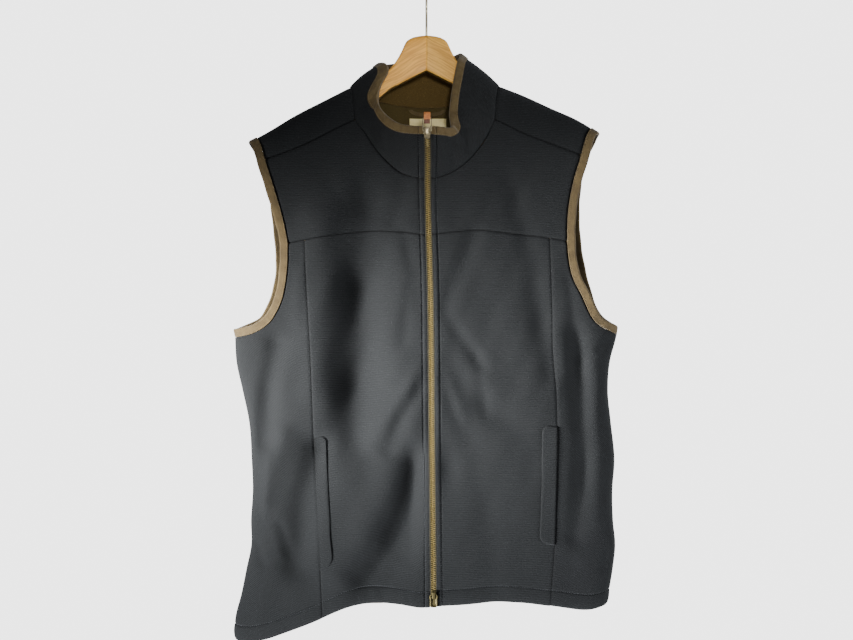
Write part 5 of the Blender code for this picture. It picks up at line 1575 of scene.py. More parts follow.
@dataclass
class Collar:
    """Stand collar: ribbed outside, brown fleece inside, and a folded binding over its top edge."""

    line: Array
    cloth: float = 2.4
    lining: float = 2.0
    gap: float = 0.35
    bulge: float = 4.0
    middle_x: float = -8.0
    cloth_top: float = 0.93
    binding_width: float = 12.3
    uneven: tuple = ((22.7, 0.9, 5.5), (24.8, 1.2, -6.0))
    proud: float = 1.0
    lining_reach: float = 4.0
    creases: tuple = ((2.6, 0.35, 0.45, 4.0), (3.9, 0.6, 0.35, 3.6), (5.2, 0.5, 0.5, -2.4),
                      (26.4, 0.45, 0.6, 3.6), (24.4, 0.3, 0.6, 3.4), (27.6, 0.5, 0.5, -1.6))

    def away(self, points: Array) -> Array:
        """Level directions from the collar's middle to its points."""
        return (points - [self.middle_x, 0.0, 0.0]) * [1.0, 1.0, 0.0]

    def point(self, station: Array, share: Array) -> Array:
        """Outer surface: straight from seam to edge, plus an outward bow of a sine, less its creases."""
        stations = np.arange(len(self.line), dtype=float)
        foot = pack(*(cubic(station, stations, self.line[:, k]) for k in range(3)))
        top = pack(*(read_table(COLLAR_TOP, "station", k, station) for k in "xyz"))
        base = foot + (top - foot) * share[..., None]
        crease = np.zeros_like(share)
        for at, height, width, depth in self.creases:
            lean = station - at - (share - height) * 0.8
            crease += depth * np.exp(-(lean / width) ** 2) * np.sin(math.pi * share)
        ripple = 0.3 * np.sin(station * 2.1 + 3 * share) * np.sin(math.pi * share)
        bow = self.bulge * np.sin(math.pi * share) - crease + ripple
        return base + unit(self.away(base)) * bow[..., None]

    def surface(self, stations: Array, shares: Array) -> tuple[Array, Array]:
        """Points and outward normals on a grid of shares by stations."""
        station, share = np.meshgrid(stations, shares)
        points = self.point(station, share)
        normals = unit(np.cross(np.gradient(points, axis=1), np.gradient(points, axis=0)))
        if np.sum(normals * self.away(points)) < 0:
            normals = -normals
        return points, normals

    def stations(self) -> Array:
        """Stations along the collar, closer near the zip."""
        return np.unique(chain(np.linspace(0, 30, 170), np.linspace(0, 1.6, 22),
                               np.linspace(28.4, 30, 22)))

    def build(self, studio: Studio, panels: Panels) -> None:
        """Makes the collar's three layers and their stitching."""
        stations = self.stations()
        points, normals = self.surface(stations, self.shares())
        stitches = {"l": panels.topstitch, "r": panels.topstitch}
        patch = panels.patch(points, (0, 0, 0), {"t": 1.0}, stitches, False)
        patch.normals = normals
        mesh = cloth_mesh("collar_cloth", [patch])
        outer = studio.add(mesh, ("navy", "inside"), "navy_fleece", ("collar",))
        rows = [panels.column_near(patch, letter, panels.topstitch) for letter in "lr"]
        thread = studio.add(Sewing().mesh("collar_stitches", rows), ("thread",), "navy_fleece")
        binding = self.bind(studio, stations)
        panels.declare(outer, [patch], [thread, *binding])
        inner = slice(6, -6)
        behind = smoothstep((stations - 4.0) / 3.0) * smoothstep((26.0 - stations) / 3.0)
        reach = 0.3 + (self.lining_reach - 0.3) * behind
        below = points[:1] + unit(points[:1] - points[2:3]) * reach[None, :, None]
        points = chain(below, points)[:, inner]
        normals = chain(normals[:1], normals)[:, inner]
        points = points - normals * (self.cloth + self.gap)
        flat = np.zeros(points.shape[:2])
        lining = Patch(points, normals, flat + self.lining, flat, flat_map(points))
        mesh = cloth_mesh("collar_lining_fleece", [lining])
        inner_piece = studio.add(mesh, ("brown", "brown"), "brown_fleece", ("collar_lining",))
        panels.declare(inner_piece, [lining], [])

    def shares(self) -> Array:
        """Shares up the collar, closer at the neck seam."""
        return np.unique(chain([-0.012, 0, 0.008, 0.018, 0.032, 0.05],
                               np.linspace(0.075, self.cloth_top, 24)))

    def binding_foot(self, stations: Array) -> Array:
        """Share where the binding's lower edge runs, so that it lies a constant width from the top edge.

        The share is one less the width over the length of the upright direction square to the edge.
        """
        edge = self.point(stations, np.ones(len(stations)))
        below = self.point(stations, np.full(len(stations), 0.8))
        upright = (edge - below) / 0.2
        run = tangents(edge)
        square = np.linalg.norm(upright - np.sum(upright * run, -1, keepdims=True) * run, axis=-1)
        width = np.full(len(stations), self.binding_width)
        for at, reach, more in self.uneven:
            width += more * np.exp(-((stations - at) / reach) ** 2)
        return soften(np.clip(1 - width / square, 0.5, 0.93), 7)

    def bind(self, studio: Studio, stations: Array) -> list[Piece]:
        """Folded binding: a closed section of collar share and depth, carried along the stations.

        It stands proud of the cloth outside, turns over the top and runs down inside. Small puckers
        and the sewn folds beside the zip are pressed into it.
        """
        fine = np.unique(chain(stations, np.linspace(0, 30, 330)))
        foot = self.binding_foot(fine)[:, None]
        steps = np.linspace(0, 1, 10)[None]
        turn = np.radians(np.linspace(90, -90, 7)[1:-1])
        depth = self.proud + self.cloth + self.gap + self.lining + 0.2
        half = depth / 2
        outside = foot + (0.97 - foot) * steps
        over = np.broadcast_to(0.97 + 0.03 * np.cos(turn), (len(fine), 5))
        shares = chain(outside, over, outside[:, ::-1], axis=1)
        depths = chain(np.full(10, self.proud), self.proud - half + half * np.sin(turn),
                       np.full(10, self.proud - depth))
        station = np.broadcast_to(fine[:, None], shares.shape)
        rings = self.point(station, shares)
        ahead = self.point(station + 0.02, shares) - self.point(station - 0.02, shares)
        above = self.point(station, shares + 0.01) - self.point(station, shares - 0.01)
        lean = unit(np.cross(above, ahead))
        lean = lean * np.sign(np.sum(lean * self.away(rings)))
        run = arc_length(rings[:, 12], 0)
        pucker = 0.2 * np.sin(run / 1.35) * np.sin(run / 7.7) + 0.16 * np.sin(run / 3.1)
        ends = np.minimum(run, run[-1] - run)
        folds = np.exp(-((ends - 7.0) / 0.7) ** 2)
        pressed = -0.7 * folds + 0.3 * np.exp(-((ends - 5.0) / 1.6) ** 2)
        swell = np.sin(np.clip((shares - foot) / (1 - foot), 0, 1) * math.pi)
        front = (np.arange(25) < 12).astype(float)[None]
        offset = depths[None] + front * ((pucker + pressed)[:, None] + 0.45 * swell)
        vertices = (rings + lean * offset[..., None]).reshape(-1, 3)
        quads = grid_quads(len(fine), 25, wrap=True)
        last = len(vertices) - 25
        row, slot = np.divmod(np.arange(len(quads)), 25)
        uv = np.stack([pack((slot + a) * 1.3 * MM, run[row + b] * MM)
                       for a, b in ((0, 0), (0, 1), (1, 1), (1, 0))], axis=1)
        # painted shade in the sewn folds beside the zip and along the binding's lower edge
        press = np.maximum(0.75 * folds[:, None] * front, 0.5 * (np.arange(25) < 1)[None]).ravel()
        mesh = make_mesh("collar_binding_tape", vertices, quads, [range(25), range(last, last + 25)], uv=uv,
                         press=press)
        face_out(mesh)
        tape = studio.add(mesh, ("collar_binding",), "olive_binding", ("collar_binding",))
        edge = rings[:, 1] + lean[:, 1] * (self.proud + 0.12)
        return [tape, sew_binding(studio, "collar_binding", edge, lean[:, 1])]


@dataclass
class ArmholeBindings:
    """Folded bands round the armholes, with puckers along their sewn edge."""

    panels: Panels
    width: float = 12.0
    proud: float = 0.9
    thick: float = 4.3
    step: float = 2.0

    def section(self) -> Array:
        """A flat loop with a round outer fold, as across and above."""
        middle = self.proud - self.thick / 2
        half = self.thick / 2
        flat = np.linspace(0.25, self.width - half, 9)
        turn = np.radians(np.linspace(90, -90, 9)[1:-1])
        over = pack(self.width - half + half * np.cos(turn), middle + half * np.sin(turn))
        top = pack(flat, np.full(9, self.proud))
        under = pack(flat[::-1], np.full(9, self.proud - self.thick))
        return chain(top, over, under)

    def build(self, studio: Studio) -> None:
        """Makes both bands: the section carried round the armhole, puckered by two waves."""
        for side in Side:
            points, normals = self.panels.armhole(side)
            loop = chain(points, points[:1])
            lean = chain(normals, normals[:1])
            path, up = (item[:-1] for item in resample(loop, self.step, lean))
            path = soften(path, 1, True)
            up = unit(soften(up, 5, True))
            run = tangents(path, True)
            across = unit(soften(np.cross(up, run) * side.value, 4, True))
            across = unit(across - np.sum(across * run, -1, keepdims=True) * run)
            up = unit(np.cross(run, across) * side.value)
            distance = arc_length(path, 0)
            section = np.broadcast_to(self.section(), (len(path), 25, 2)).copy()
            pucker = 0.2 * np.sin(distance / 1.7) * np.sin(distance / 8.9) + 0.15 * np.sin(distance / 3.7)
            fade = np.clip(1 - section[0, :9, 0] / self.width, 0, 1)
            dent = 0.4 * np.exp(-((section[0, :9, 0] - 1.6) / 0.8) ** 2)
            section[:, :9, 1] += pucker[:, None] * fade[None] + 0.3 - dent[None]
            section[:, 9:16, 0] += 0.25 * np.sin(distance / 6.1)[:, None]
            name = f"armhole_binding_{side.word}"
            mesh = sweep_mesh(f"{name}_tape", path, across, up, section, closed=True, uv_scale=1.1)
            studio.add(mesh, ("binding",), "olive_binding", (name,))
            edge = path + across * 1.6 + up * (self.proud + 0.05)
            edge = chain(edge, edge[:1])
            lean = chain(up, up[:1])
            sew_binding(studio, name, edge, lean)


@dataclass
class ZipLine:
    """The zip's middle line with its normals, and the two front edges beside it."""

    panels: Panels
    collar: Collar
    collar_top: float = 0.84

    def levels(self, side: Side) -> tuple[Array, Array, Array]:
        """Columns of points and normals down a front edge, and the cloth's thickness at each level."""
        station = np.array([0.0, 0.25, 0.55, 0.95]) if side is Side.LEFT else np.array([30.0, 29.75, 29.45, 29.05])
        shares = np.linspace(self.collar_top, 0, 24)
        order = np.argsort(station)
        points, normals = self.collar.surface(station[order], shares)
        back = np.argsort(order)
        rows = [(points[:-1, back], normals[:-1, back], np.full(23, self.panels.cloth))]
        for key in ("yoke", "centre"):
            patch = self.panels.grids[key, side]
            run = arc_length(patch.points, 1).mean(axis=0)
            picks = [int(np.argmin(np.abs(run - at))) for at in (0.0, 3.6, 8.0, 13.5)]
            keep = slice(None, -1) if key == "yoke" else slice(None)
            rows.append((patch.points[keep][:, picks], patch.normals[keep][:, picks], patch.wall[keep, 0]))
        return tuple(chain(*(row[k] for row in rows)) for k in range(3))

    def middle(self, step: float) -> tuple[Array, Array]:
        """The chain's middle line, evenly spaced from top to bottom, and its normals."""
        lines = []
        for side in Side:
            points, normals, _ = self.levels(side)
            z = points[:, 0, 2]
            lines.append((points[:, 0], normals[:, 0], z))
        top = min(lines[0][2][0], lines[1][2][0])
        low = max(lines[0][2][-1], lines[1][2][-1])
        at = np.linspace(top, low, 700)
        both = []
        for points, normals, z in lines:
            both.append([pack(*(np.interp(-at, -z, item[:, k]) for k in range(3)))
                         for item in (points, normals)])
        path = (both[0][0] + both[1][0]) / 2
        path = soften(path, 6)
        lean = both[0][1] + both[1][1]
        lean[:, 0] = 0
        lean = unit(soften(lean, 10))
        return tuple(resample(path, step, lean))

    def axes(self, step: float) -> tuple[Array, Array, Array, Array]:
        """The middle line, its normals, its directions, and the directions across it towards +X."""
        path, lean = self.middle(step)
        run = tangents(path)
        across = unit(np.cross(run, lean))
        return path, lean, run, across * np.sign(across[:, :1])


@dataclass
class Zip:
    """Moulded zip: interlocked teeth on two woven tapes."""

    line: ZipLine
    half_opening: float = 5.0
    pitch: float = 3.0
    half_width: float = 3.2
    proud: float = 0.3
    thick: float = 2.6
    tape_gap: float = 0.45
    tape_thick: float = 0.9
    cord_away: float = 4.1
    cord_deep: float = 0.5
    cord_radius: float = 0.75
    cord_step: float = 2.0
    tooth_sides: int = 10

    def tooth(self) -> tuple[Array, Array]:
        """One tooth along +X: a foot on the tape, a neck and a head past the middle, with oval sections."""
        across = np.array([-self.half_width, -3.05, -2.4, -1.5, -0.9, -0.2, 0.5, 0.75])
        height = np.array([0.5, 0.80, 0.86, 0.74, 0.55, 0.62, 0.55, 0.32])
        depth = np.array([0.7, 1.15, 1.3, 1.25, 0.95, 1.1, 1.05, 0.6])
        ring = rounded_box(1.0, 1.0, 3.0, self.tooth_sides)
        points = pack(np.repeat(across, self.tooth_sides), np.outer(height, ring[:, 0]).ravel(),
                      np.outer(depth, ring[:, 1]).ravel())
        return points, grid_quads(len(across), self.tooth_sides, wrap=True)

    def teeth(self, studio: Studio) -> None:
        """All teeth as one mesh: the same tooth set in each place's axes, the sides half a pitch apart."""
        path, lean, run, across = self.line.axes(self.pitch / 2)
        shape, quads = self.tooth()
        sign = np.where(np.arange(len(path)) % 2 == 0, 1.0, -1.0)
        centre = path + lean * (self.proud - self.thick / 2)
        x = across * sign[:, None]
        vertices = (centre[:, None] + x[:, None] * shape[None, :, :1] + run[:, None] * shape[None, :, 1:2]
                    + lean[:, None] * shape[None, :, 2:])
        offset = (np.arange(len(path)) * len(shape))[:, None, None]
        turned = np.where(sign[:, None, None] > 0, quads[None], quads[None, :, ::-1])
        ring = np.arange(self.tooth_sides)
        ends = np.stack([ring, ring[::-1] + len(shape) - self.tooth_sides])[None]
        caps = np.where(sign[:, None, None] > 0, ends, ends[:, :, ::-1]) + offset
        mesh = make_mesh("zip_teeth", vertices.reshape(-1, 3), (turned + offset).reshape(-1, 4),
                         caps.reshape(-1, self.tooth_sides).tolist(), sharp=40.0)
        face_out(mesh)
        studio.add(mesh, ("teeth",), "moulded_teeth", ("zip_chain",))

    def tapes(self, studio: Studio) -> None:
        """A thin tape on each side: from under the teeth, behind the front's edge, to its own edge."""
        for side in Side:
            points, normals, wall = self.line.levels(side)
            reach = np.array([side.value, 0.0, 0.0])
            first = points[:, :1] - reach * (self.half_opening - 1.1)
            second = points[:, :1] - reach * 2.4
            grid = chain(first, second, points, axis=1)
            lean = chain(normals[:, :1], normals[:, :1], normals, axis=1)
            lean = unit(soften(lean, 2))
            grid = grid - lean * (wall + self.tape_gap)[:, None, None]
            flat = np.zeros(grid.shape[:2])
            patch = Patch(grid, lean, flat + self.tape_thick, flat, flat_map(grid))
            mesh = cloth_mesh(f"zip_tape_{side.word}_weave", [patch])
            piece = studio.add(mesh, ("tape", "tape"), "zip_tape", (f"zip_tape_{side.word}",))
            self.line.panels.declare(piece, [patch], [])

    def cords(self, studio: Studio) -> None:
        """The tapes' beaded inner edges, one beside each row of teeth."""
        path, lean, _, across = self.line.axes(self.cord_step)
        for side in Side:
            middle = path + across * (side.value * self.cord_away) - lean * self.cord_deep
            mesh = sweep_mesh(f"zip_cord_{side.word}", middle, across, lean, circle(self.cord_radius, 8))
            studio.add(mesh, ("cord",), "zip_tape")

    def build(self, studio: Studio) -> None:
        """Makes the teeth, the tapes and their cords."""
        self.teeth(studio)
        self.tapes(studio)
        self.cords(studio)


def flat_plate(name: str, outline: Array, depths: Sequence[tuple[float, float]], face_y: float) -> Mesh:
    """A plate with rounded edges: rings of the outline, shrunk by an inset at each depth.

    Args:
        name: The mesh's name.
        outline: Corners as x and z, in turn.
        depths: Pairs of inset and depth from the back to the front.
        face_y: y of the plate's back; depths run towards -Y.

    Returns:
        The closed mesh.
    """
    along_edge = np.roll(outline, -1, axis=0) - np.roll(outline, 1, axis=0)
    inward = unit(pack(-along_edge[:, 1], along_edge[:, 0]))
    middle = outline.mean(axis=0)
    if np.sum(inward * (middle - outline)) < 0:
        inward = -inward
    rings = []
    for inset, depth in depths:
        ring = outline + inward * inset
        rings.append(pack(ring[:, 0], np.full(len(ring), face_y - depth), ring[:, 1]))
    vertices = np.concatenate(rings)
    count = len(outline)
    quads = grid_quads(len(rings), count, wrap=True)
    last = len(vertices) - count
    mesh = make_mesh(name, vertices, quads, [range(count), range(last, last + count)], sharp=35.0)
    face_out(mesh)
    return mesh


def outline_from_widths(x: float, rows: Sequence[tuple[float, float]], count: int = 18) -> Array:
    """A symmetric outline: half widths at heights, read smoothly down one side and up the other."""
    z = np.array([row[0] for row in rows])
    half = np.array([row[1] for row in rows])
    at = np.linspace(0, 1, count)
    knots = np.linspace(0, 1, len(rows))
    zs = cubic(at, knots, z)
    halves = np.maximum(cubic(at, knots, half), 0.4)
    right = pack(x + halves, zs)
    left = pack(x - halves, zs)[::-1]
    return chain(right, left)


@dataclass
class Slider:
    """A cast slider: plate, side rims, arched bridge and the wire pull that swings in it."""

    name: str
    x: float
    bar_y: float
    bar_z: float
    outline: Sequence[tuple[float, float]]
    bridge: tuple[float, float]
    plate: float = 2.2
    bar_up: float = 1.25
    bridge_high: float = 3.6
    bridge_half: float = 1.5
    strip: float = 1.0
    finish: str = "slider"
    arch: str = "bridge"

    @property
    def front(self) -> float:
        """y of the plate's front face."""
        return self.bar_y + self.bar_up

    def build_body(self, studio: Studio) -> None:
        """Plate with a raised rim, and the bridge over the pull's bar."""
        outline = outline_from_widths(self.x, self.outline)
        back = self.front + self.plate
        depths = [(0.7, 0.0), (0.15, 0.15), (0.0, 0.5), (0.0, self.plate - 0.45), (0.2, self.plate - 0.1),
                  (0.6, self.plate), (1.2, self.plate - 0.1), (1.7, self.plate - 0.35), (2.4, self.plate - 0.4)]
        body = flat_plate(f"{self.name}_plate", outline, depths, back)
        studio.add(body, (self.finish,), "antique_metal", (self.name,))
        top, bottom = self.bridge
        high = self.front - self.bridge_high + self.strip / 2
        foot = self.front + 0.5
        turn = np.radians(np.linspace(0, 90, 7))
        corner = 1.4
        upper = pack(high + corner - corner * np.sin(turn), top - corner + corner * np.cos(turn))
        lower = pack(high + corner - corner * np.cos(turn), bottom + corner - corner * np.sin(turn))
        arch = chain([[foot, top]], upper, lower, [[foot, bottom]])
        path, across, up = upright_frame(self.x, arch)
        section = rounded_box(self.bridge_half, self.strip / 2, 4.0, 16)
        mesh = sweep_mesh(f"{self.name}_bridge_arch", path, across, up, section, sharp=40.0)
        studio.add(mesh, (self.arch,), "antique_metal")

    def build_ring(self, studio: Studio, node: str, body: str, half: float, high: float, way: int,
                   radius: float = 0.75, finish: str = "slider") -> None:
        """Wire loop: a round section carried round a racetrack whose near bar lies on the pivot."""
        corner = 2.4
        centres = [(half - corner, corner, -90), (half - corner, high - corner, 0),
                   (corner - half, high - corner, 90), (corner - half, corner, 180)]
        turns = []
        for cx, cz, start in centres:
            turn = np.radians(start + np.linspace(0, 90, 10))
            turns.append(pack(cx + corner * np.cos(turn), cz + corner * np.sin(turn)))
        flat = np.concatenate(turns)
        path = pack(self.x + flat[:, 0], np.full(len(flat), self.bar_y), self.bar_z + way * flat[:, 1])
        run = tangents(path, True)
        up = np.tile([0.0, -1.0, 0.0], (len(path), 1))
        across = unit(np.cross(run, up))
        mesh = sweep_mesh(f"{node}_wire", path, across, up, circle(radius, 14), closed=True)
        studio.add(mesh, (finish,), "antique_metal", (node,), body)


@dataclass
class LeatherTab:
    """Leather folded over the loop's far bar, its front short and its tail long."""

    x: float
    y: float
    bar_z: float
    half_width: float = 4.5
    inner: float = 1.1
    layer: float = 1.3
    tail: float = 8.0
    front: float = 2.6
    rise: float = 5.5

    def build(self, studio: Studio) -> None:
        """A flat section carried round the bar and down behind, with a bent, tapering tail."""
        radius = self.inner + self.layer / 2
        turn = np.radians(np.linspace(90, -90, 18))
        fold = pack(self.y - radius * np.sin(turn), self.bar_z + (radius + self.rise) * np.cos(turn))
        drop = np.linspace(self.front, 0, 7)[:-1]
        lip = pack(self.y - radius - 0.25 * np.sin(drop / self.front * math.pi), self.bar_z - drop)
        drop = np.linspace(0, self.tail, 12)[1:]
        tail = pack(np.full(len(drop), self.y + radius), self.bar_z - drop)
        line = chain(lip, fold, tail)
        path, across, up = upright_frame(self.x, line)
        section = rounded_box(self.half_width, self.layer / 2, 6.0, 24)
        width = 1 - 0.10 * smoothstep(np.linspace(-0.4, 1, len(path))) + 0.015 * np.sin(np.arange(len(path)))
        sections = section[None] * pack(width, np.ones(len(path)))[:, None]
        mesh = sweep_mesh("top_pull_leather", path, across, up, sections, sharp=45.0)
        middles = face_values(mesh, "center")
        # faces of the tail behind the bar take the dark leather: painted shade
        second_finish(mesh, (middles[:, 1] > (self.y + 0.4) * MM) & (middles[:, 2] < (self.bar_z - 1.0) * MM))
        studio.add(mesh, ("leather", "leather_dark"), "tan_leather", ("top_pull_tab",), "top_pull")


@dataclass
class NeckTrim:
    """Blank woven label and hanging loop inside the back neck."""

    panels: Panels
    cloth: float = 2.4
    gap: float = 0.9

    def inner_surface(self, x: Array, z: Array) -> tuple[Array, Array]:
        """Points and outward normals of the back at arrays of x and z."""
        form = self.panels.pattern.form
        step = 0.5
        grid = pack(x, z)
        spot = form.at_heights(form.to_angles(grid), Face.BACK)
        right = form.at_heights(form.to_angles(grid + [step, 0]), Face.BACK)
        lower = form.at_heights(form.to_angles(grid - [0, step]), Face.BACK)
        normals = unit(np.cross(right - spot, lower - spot))
        return spot, normals * np.sign(np.sum(normals[..., 1]))

    def build(self, studio: Studio) -> None:
        """Makes the label, its sewing and the loop."""
        x, z = np.meshgrid(np.linspace(-25, 29, 55), np.linspace(-173, -213, 41))
        points, normals = self.inner_surface(x, z)
        points = points - normals * (self.cloth + self.gap)
        run = arc_length(points, 1)
        fall = arc_length(points, 0)
        edge = np.minimum(np.minimum(run, run[:, -1:] - run), np.minimum(fall, fall[-1:] - fall))
        dent = -0.22 * np.exp(-((edge - 1.8) / 0.6) ** 2) + 0.25 * np.sin(run / 9.0) * np.sin(fall / 13.0)
        flat = np.zeros(run.shape)
        patch = Patch(points, -normals, flat + 0.1, flat + 0.75 + dent, flat_map(points))
        mesh = cloth_mesh("neck_label_blank", [patch])
        label = studio.add(mesh, ("label", "label"), "cream_label", ("neck_label",))
        self.panels.declare(label, [patch], [])
        turn = np.linspace(0, math.pi, 60)
        line_x = 1 - 25 * np.cos(turn)
        line_z = -160 - 7.5 * np.sin(turn)
        path, lean = self.inner_surface(line_x, line_z)
        path = path - lean * (self.cloth + self.gap + 0.6)
        across = unit(np.cross(lean, tangents(path)))
        mesh = sweep_mesh("hanging_loop_band", path, across, -lean, rounded_box(2.5, 0.6, 5.0, 20), uv_scale=0.6)
        studio.add(mesh, ("collar_binding",), "olive_binding", ("hanging_loop",))


@dataclass
class Hanger:
    """Wooden hanger of two arms mitred at the middle, with a bent wire hook."""

    form: GarmentForm
    half_thick: float = 7.0
    ridge_to_wood: float = 4.3
    neck_to_wood: float = 8.0
    arm_start: float = 72.0
    arm_reach: float = 205.0
    arm_height: float = 30.0
    arm_taper: float = 10.0
    shoulder_slope: float = 0.57
    hook_wire: float = 3.2
    hook_radius: float = 21.6
    head: tuple = ((0.0, -60, -111.7), (12, -61.5, -117.9), (22, -64.5, -123.1), (30, -71, -127.3),
                   (36, -84, -130.4), (42, -95, -133.5), (50, -106, -137.7))

    def outline(self, side: Side) -> tuple[Array, Array, Array]:
        """x, top and bottom of an arm, from the mitre to its end."""
        far = np.linspace(self.arm_start, self.arm_reach, 9)
        near_neck = smoothstep((134.0 - far) / 22.0)
        drop = self.ridge_to_wood + (self.neck_to_wood - self.ridge_to_wood) * near_neck
        head_x, head_top, head_bottom = (np.array([row[k] for row in self.head], dtype=float) for k in range(3))
        top = np.minimum(self.form.ridge_z(side.value * far) - drop,
                         head_top[-1] - self.shoulder_slope * (far - head_x[-1]))
        height = self.arm_height - self.arm_taper * (far - far[0]) / (far[-1] - far[0])
        xs = chain(head_x, far)
        tops = chain(head_top, top)
        bottoms = chain(head_bottom, top - height)
        at = chain(np.linspace(xs[0], 60, 70), np.linspace(60, xs[-1] + 3.5, 90)[1:])
        past = np.clip(at - xs[-1], 0, None)
        shrink = 8.0 * (1 - np.sqrt(np.clip(1 - (past / 3.6) ** 2, 0, 1)))
        return at, cubic(at, xs, tops) - 0.6 * past - shrink, cubic(at, xs, bottoms) - 0.5 * past + shrink

    def arm(self, side: Side) -> Mesh:
        """An arm: a rounded section whose top, bottom and middle follow the outline and the ridge."""
        x, top, bottom = self.outline(side)
        y = self.form.ridge_y(x)
        half = (top - bottom) / 2
        ring = rounded_box(1.0, 1.0, 7.0, 44)
        near_edge = np.sqrt(np.clip(1 - (1 - np.clip((x - x[0]) / 0.4, 0, 1)) ** 2, 0, 1)) * 0.3 - 0.3
        end = 1 - 0.35 * smoothstep((x - (self.arm_reach - 2)) / 5.5)
        depth = (self.half_thick + near_edge) * end
        soft_top = 4.0
        up = ring[None, :, 1] * half[:, None]
        crown = np.clip(np.abs(ring[None, :, 1]) * half[:, None] - (half[:, None] - soft_top), 0, soft_top)
        round_off = np.where(ring[None, :, 1] > 0, 1 - np.sqrt(np.clip(1 - (crown / soft_top) ** 2 * 0.9, 0, 1)), 0)
        across = ring[None, :, 0] * depth[:, None] * (1 - 0.55 * round_off)
        vertices = pack(np.broadcast_to(side.value * x[:, None], up.shape), y[:, None] + across,
                        (top + bottom)[:, None] / 2 + up + near_edge[:, None] * ring[None, :, 1])
        quads = grid_quads(len(x), 44, wrap=True)
        last = (len(x) - 1) * 44
        mesh = make_mesh(f"hanger_arm_{side.word}_wood", vertices.reshape(-1, 3), quads,
                         [range(44), range(last, last + 44)], sharp=50.0)
        face_out(mesh)
        # faces that look down take the dark wood: painted shade on the arm's underside
        second_finish(mesh, face_values(mesh, "normal")[:, 2] < -0.5)
        return mesh

    def hook(self) -> Mesh:
        """The hook: a round section along the shank, the swing out, the crown and the tip."""
        crown = self.hook_wire / 2 - self.hook_radius
        turn = np.radians(np.linspace(-15, 195, 60))
        arc = pack(self.hook_radius * np.cos(turn), crown + self.hook_radius * np.sin(turn))
        lead = np.array([(0.0, -70.0), (0.0, -60.0), (0.0, -52.0), (0.6, -47.0), (7.0, -42.5), (14.5, -37.0),
                         (19.5, -30.5)])
        tip = np.array([(-self.hook_radius - 0.4, crown - 9.5), (-self.hook_radius - 0.6, crown - 12.0)])
        rough = chain(lead, arc[1:], tip)
        run = arc_length(rough, 0)
        at = np.linspace(0, run[-1], 170)
        line = pack(*(cubic(at, run, rough[:, k]) for k in range(2)))
        path, across, up = upright_frame(0.0, line)
        size = np.ones(len(path))
        size[-6:] = np.sqrt(1 - (np.linspace(0, 0.93, 6)) ** 2)
        sections = circle(self.hook_wire / 2, 18)[None] * size[:, None, None]
        return sweep_mesh("hanger_hook_wire", path, across, up, sections)

    def build(self, studio: Studio) -> None:
        """Makes the arms and the hook."""
        for side in Side:
            finish = f"wood_{side.word}"
            studio.add(self.arm(side), (finish, "wood_under"), "pale_wood", (f"hanger_arm_{side.word}",))
        studio.add(self.hook(), ("hook",), "antique_metal", ("hanger_hook",))


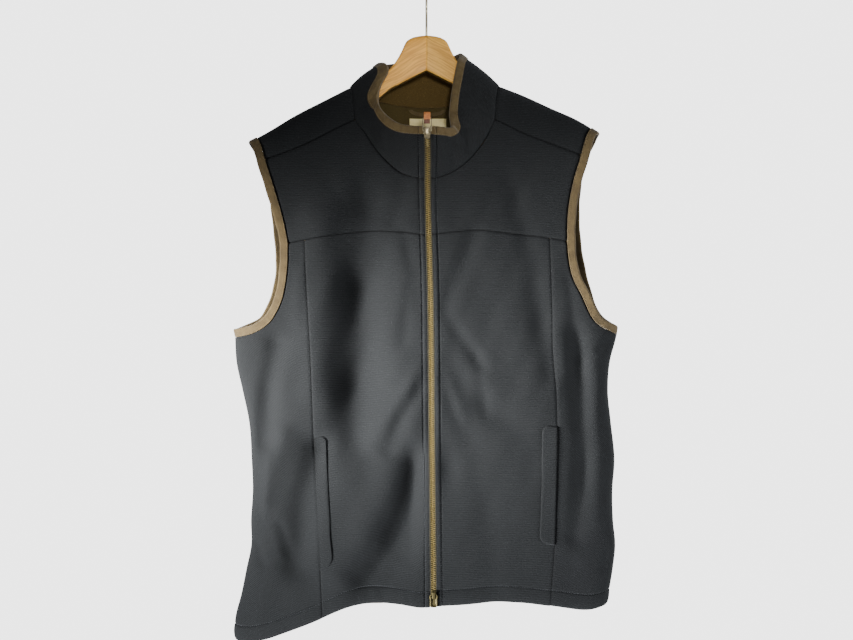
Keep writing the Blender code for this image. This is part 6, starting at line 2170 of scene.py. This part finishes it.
@dataclass
class Set:
    """Pale floor, plain pale surround, soft lights and the camera at the garment's middle height."""

    camera_distance: float = 1.765
    camera_height: float = -0.469
    lens: float = 51.78
    floor_z: float = -1.9
    floor_half: float = 3.4
    surround: float = 3.5
    ambient: float = 0.34

    def build_floor(self, finish: Material) -> None:
        """A flat pale floor well below the hanging garment."""
        half, z = self.floor_half, self.floor_z
        mesh = bpy.data.meshes.new("floor")
        mesh.from_pydata([(-half, -half, z), (half, -half, z), (half, half, z), (-half, half, z)], [], [[0, 1, 2, 3]])
        mesh.materials.append(finish)
        piece = bpy.data.objects.new("floor", mesh)
        bpy.context.scene.collection.objects.link(piece)

    def add_light(self, name: str, place: tuple, aim: tuple, size: float, watts: float, colour: Colour,
                  spread: float = 180.0, low: float = 0.0) -> None:
        """A soft light, whose beam may be narrowed and whose height may be less than its width."""
        data = bpy.data.lights.new(name, "AREA")
        data.size = size
        data.energy = watts
        data.color = colour
        data.spread = math.radians(spread)
        light = bpy.data.objects.new(name, data)
        light.location = place
        if low > 0:
            data.shape = "RECTANGLE"
            data.size_y = low
        heading = np.array(aim) - np.array(place)
        flat = math.hypot(heading[0], heading[1])
        light.rotation_euler = (math.atan2(flat, -heading[2]), 0.0, math.atan2(heading[1], heading[0]) - math.pi / 2)
        bpy.context.scene.collection.objects.link(light)

    def build_world(self) -> None:
        """A plain surround: pale to look at, and dim as a light so that the folds keep their shade."""
        world = bpy.data.worlds.new("plain_surround")
        world.use_nodes = True
        tree = world.node_tree
        dim = tree.nodes["Background"]
        dim.inputs["Color"].default_value = (0.95, 0.97, 1.0, 1.0)
        dim.inputs["Strength"].default_value = self.ambient
        pale = tree.nodes.new("ShaderNodeBackground")
        pale.inputs["Color"].default_value = (1.0, 1.0, 1.0, 1.0)
        pale.inputs["Strength"].default_value = self.surround
        seen = tree.nodes.new("ShaderNodeLightPath")
        choice = tree.nodes.new("ShaderNodeMixShader")
        tree.links.new(seen.outputs["Is Camera Ray"], choice.inputs[0])
        tree.links.new(dim.outputs[0], choice.inputs[1])
        tree.links.new(pale.outputs[0], choice.inputs[2])
        tree.links.new(choice.outputs[0], tree.nodes["World Output"].inputs["Surface"])
        bpy.context.scene.world = world

    def build(self, wardrobe: Wardrobe) -> None:
        """Makes the stage, the lights and the camera."""
        self.build_floor(wardrobe["studio"])
        self.build_world()
        self.add_light("key", (-2.4, -1.15, -0.68), (-0.13, 0, -0.53), 0.9, 9.4, (1.0, 0.99, 0.97), 15.0, 0.15)
        self.add_light("low", (-1.9, -1.7, -1.5), (-0.03, 0, -0.87), 0.5, 5.0, (0.98, 0.99, 1.0), 20.0)
        self.add_light("fill", (2.6, -0.6, -0.8), (0.2, 0, -0.65), 1.0, 11.0, (0.96, 0.98, 1.0), 50.0)
        self.add_light("neck", (0.12, -1.7, -0.2), (0, 0, -0.12), 0.2, 0.10, (1.0, 0.98, 0.94), 9.0)
        self.add_light("back", (1.5, 2.3, -0.4), (0, 0, -0.5), 1.8, 64.0, (1.0, 1.0, 1.0))
        data = bpy.data.cameras.new("camera")
        data.lens = self.lens
        data.sensor_width = 36.0
        camera = bpy.data.objects.new("camera", data)
        camera.location = (0.0, -self.camera_distance, self.camera_height)
        camera.rotation_euler = (math.pi / 2, 0.0, 0.0)
        bpy.context.scene.collection.objects.link(camera)
        bpy.context.scene.camera = camera


def joint_place(name: str) -> Array:
    """A joint's point in millimetres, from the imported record."""
    joints = frame["record"]["behaviour"]["joints"]
    return np.array(next(joint["pos_m"] for joint in joints if joint["name"] == name)) / MM


def build_sliders(studio: Studio) -> None:
    """Makes both sliders, their pulls and the leather tab."""
    pivot = joint_place("top_pull_hinge")
    top = Slider("top_slider", pivot[0], pivot[1], pivot[2],
                 [(-200.6, 2.6), (-201.4, 5.0), (-204, 5.7), (-208, 4.9), (-212, 4.1), (-215.6, 3.7), (-217.2, 2.4)],
                 (-203.5, -211.5), bridge_half=1.7)
    top.build_body(studio)
    top.build_ring(studio, "top_pull_loop", "top_pull", 5.9, 19.0, 1)
    LeatherTab(pivot[0], pivot[1], pivot[2] + 19.0).build(studio)
    pivot = joint_place("bottom_pull_hinge")
    bottom = Slider("bottom_slider", pivot[0], pivot[1], pivot[2],
                    [(-843.2, 2.0), (-844.5, 3.3), (-848, 3.4), (-850.5, 5.0), (-852.5, 6.0), (-854.5, 5.6),
                     (-857, 4.4), (-860, 4.6), (-863, 5.1), (-865.6, 5.0)], (-845.0, -854.5), bridge_half=2.2,
                    finish="brass", arch="brass")
    bottom.build_body(studio)
    bottom.build_ring(studio, "bottom_pull", "bottom_pull", 4.4, 17.0, -1, finish="brass")


def main() -> None:
    """Builds the pieces in order."""
    logging.basicConfig(level=logging.INFO, format="%(message)s")
    wardrobe = Wardrobe()
    studio = Studio(wardrobe)
    pattern = Pattern()
    panels = Panels(pattern)
    panels.build(studio)
    Welts(pattern).build(studio)
    collar = Collar(pattern.neck_seam())
    collar.build(studio, panels)
    ArmholeBindings(panels).build(studio)
    Zip(ZipLine(panels, collar)).build(studio)
    build_sliders(studio)
    NeckTrim(panels).build(studio)
    Hanger(pattern.form).build(studio)
    Set().build(wardrobe)


if __name__ == "__main__":
    main()
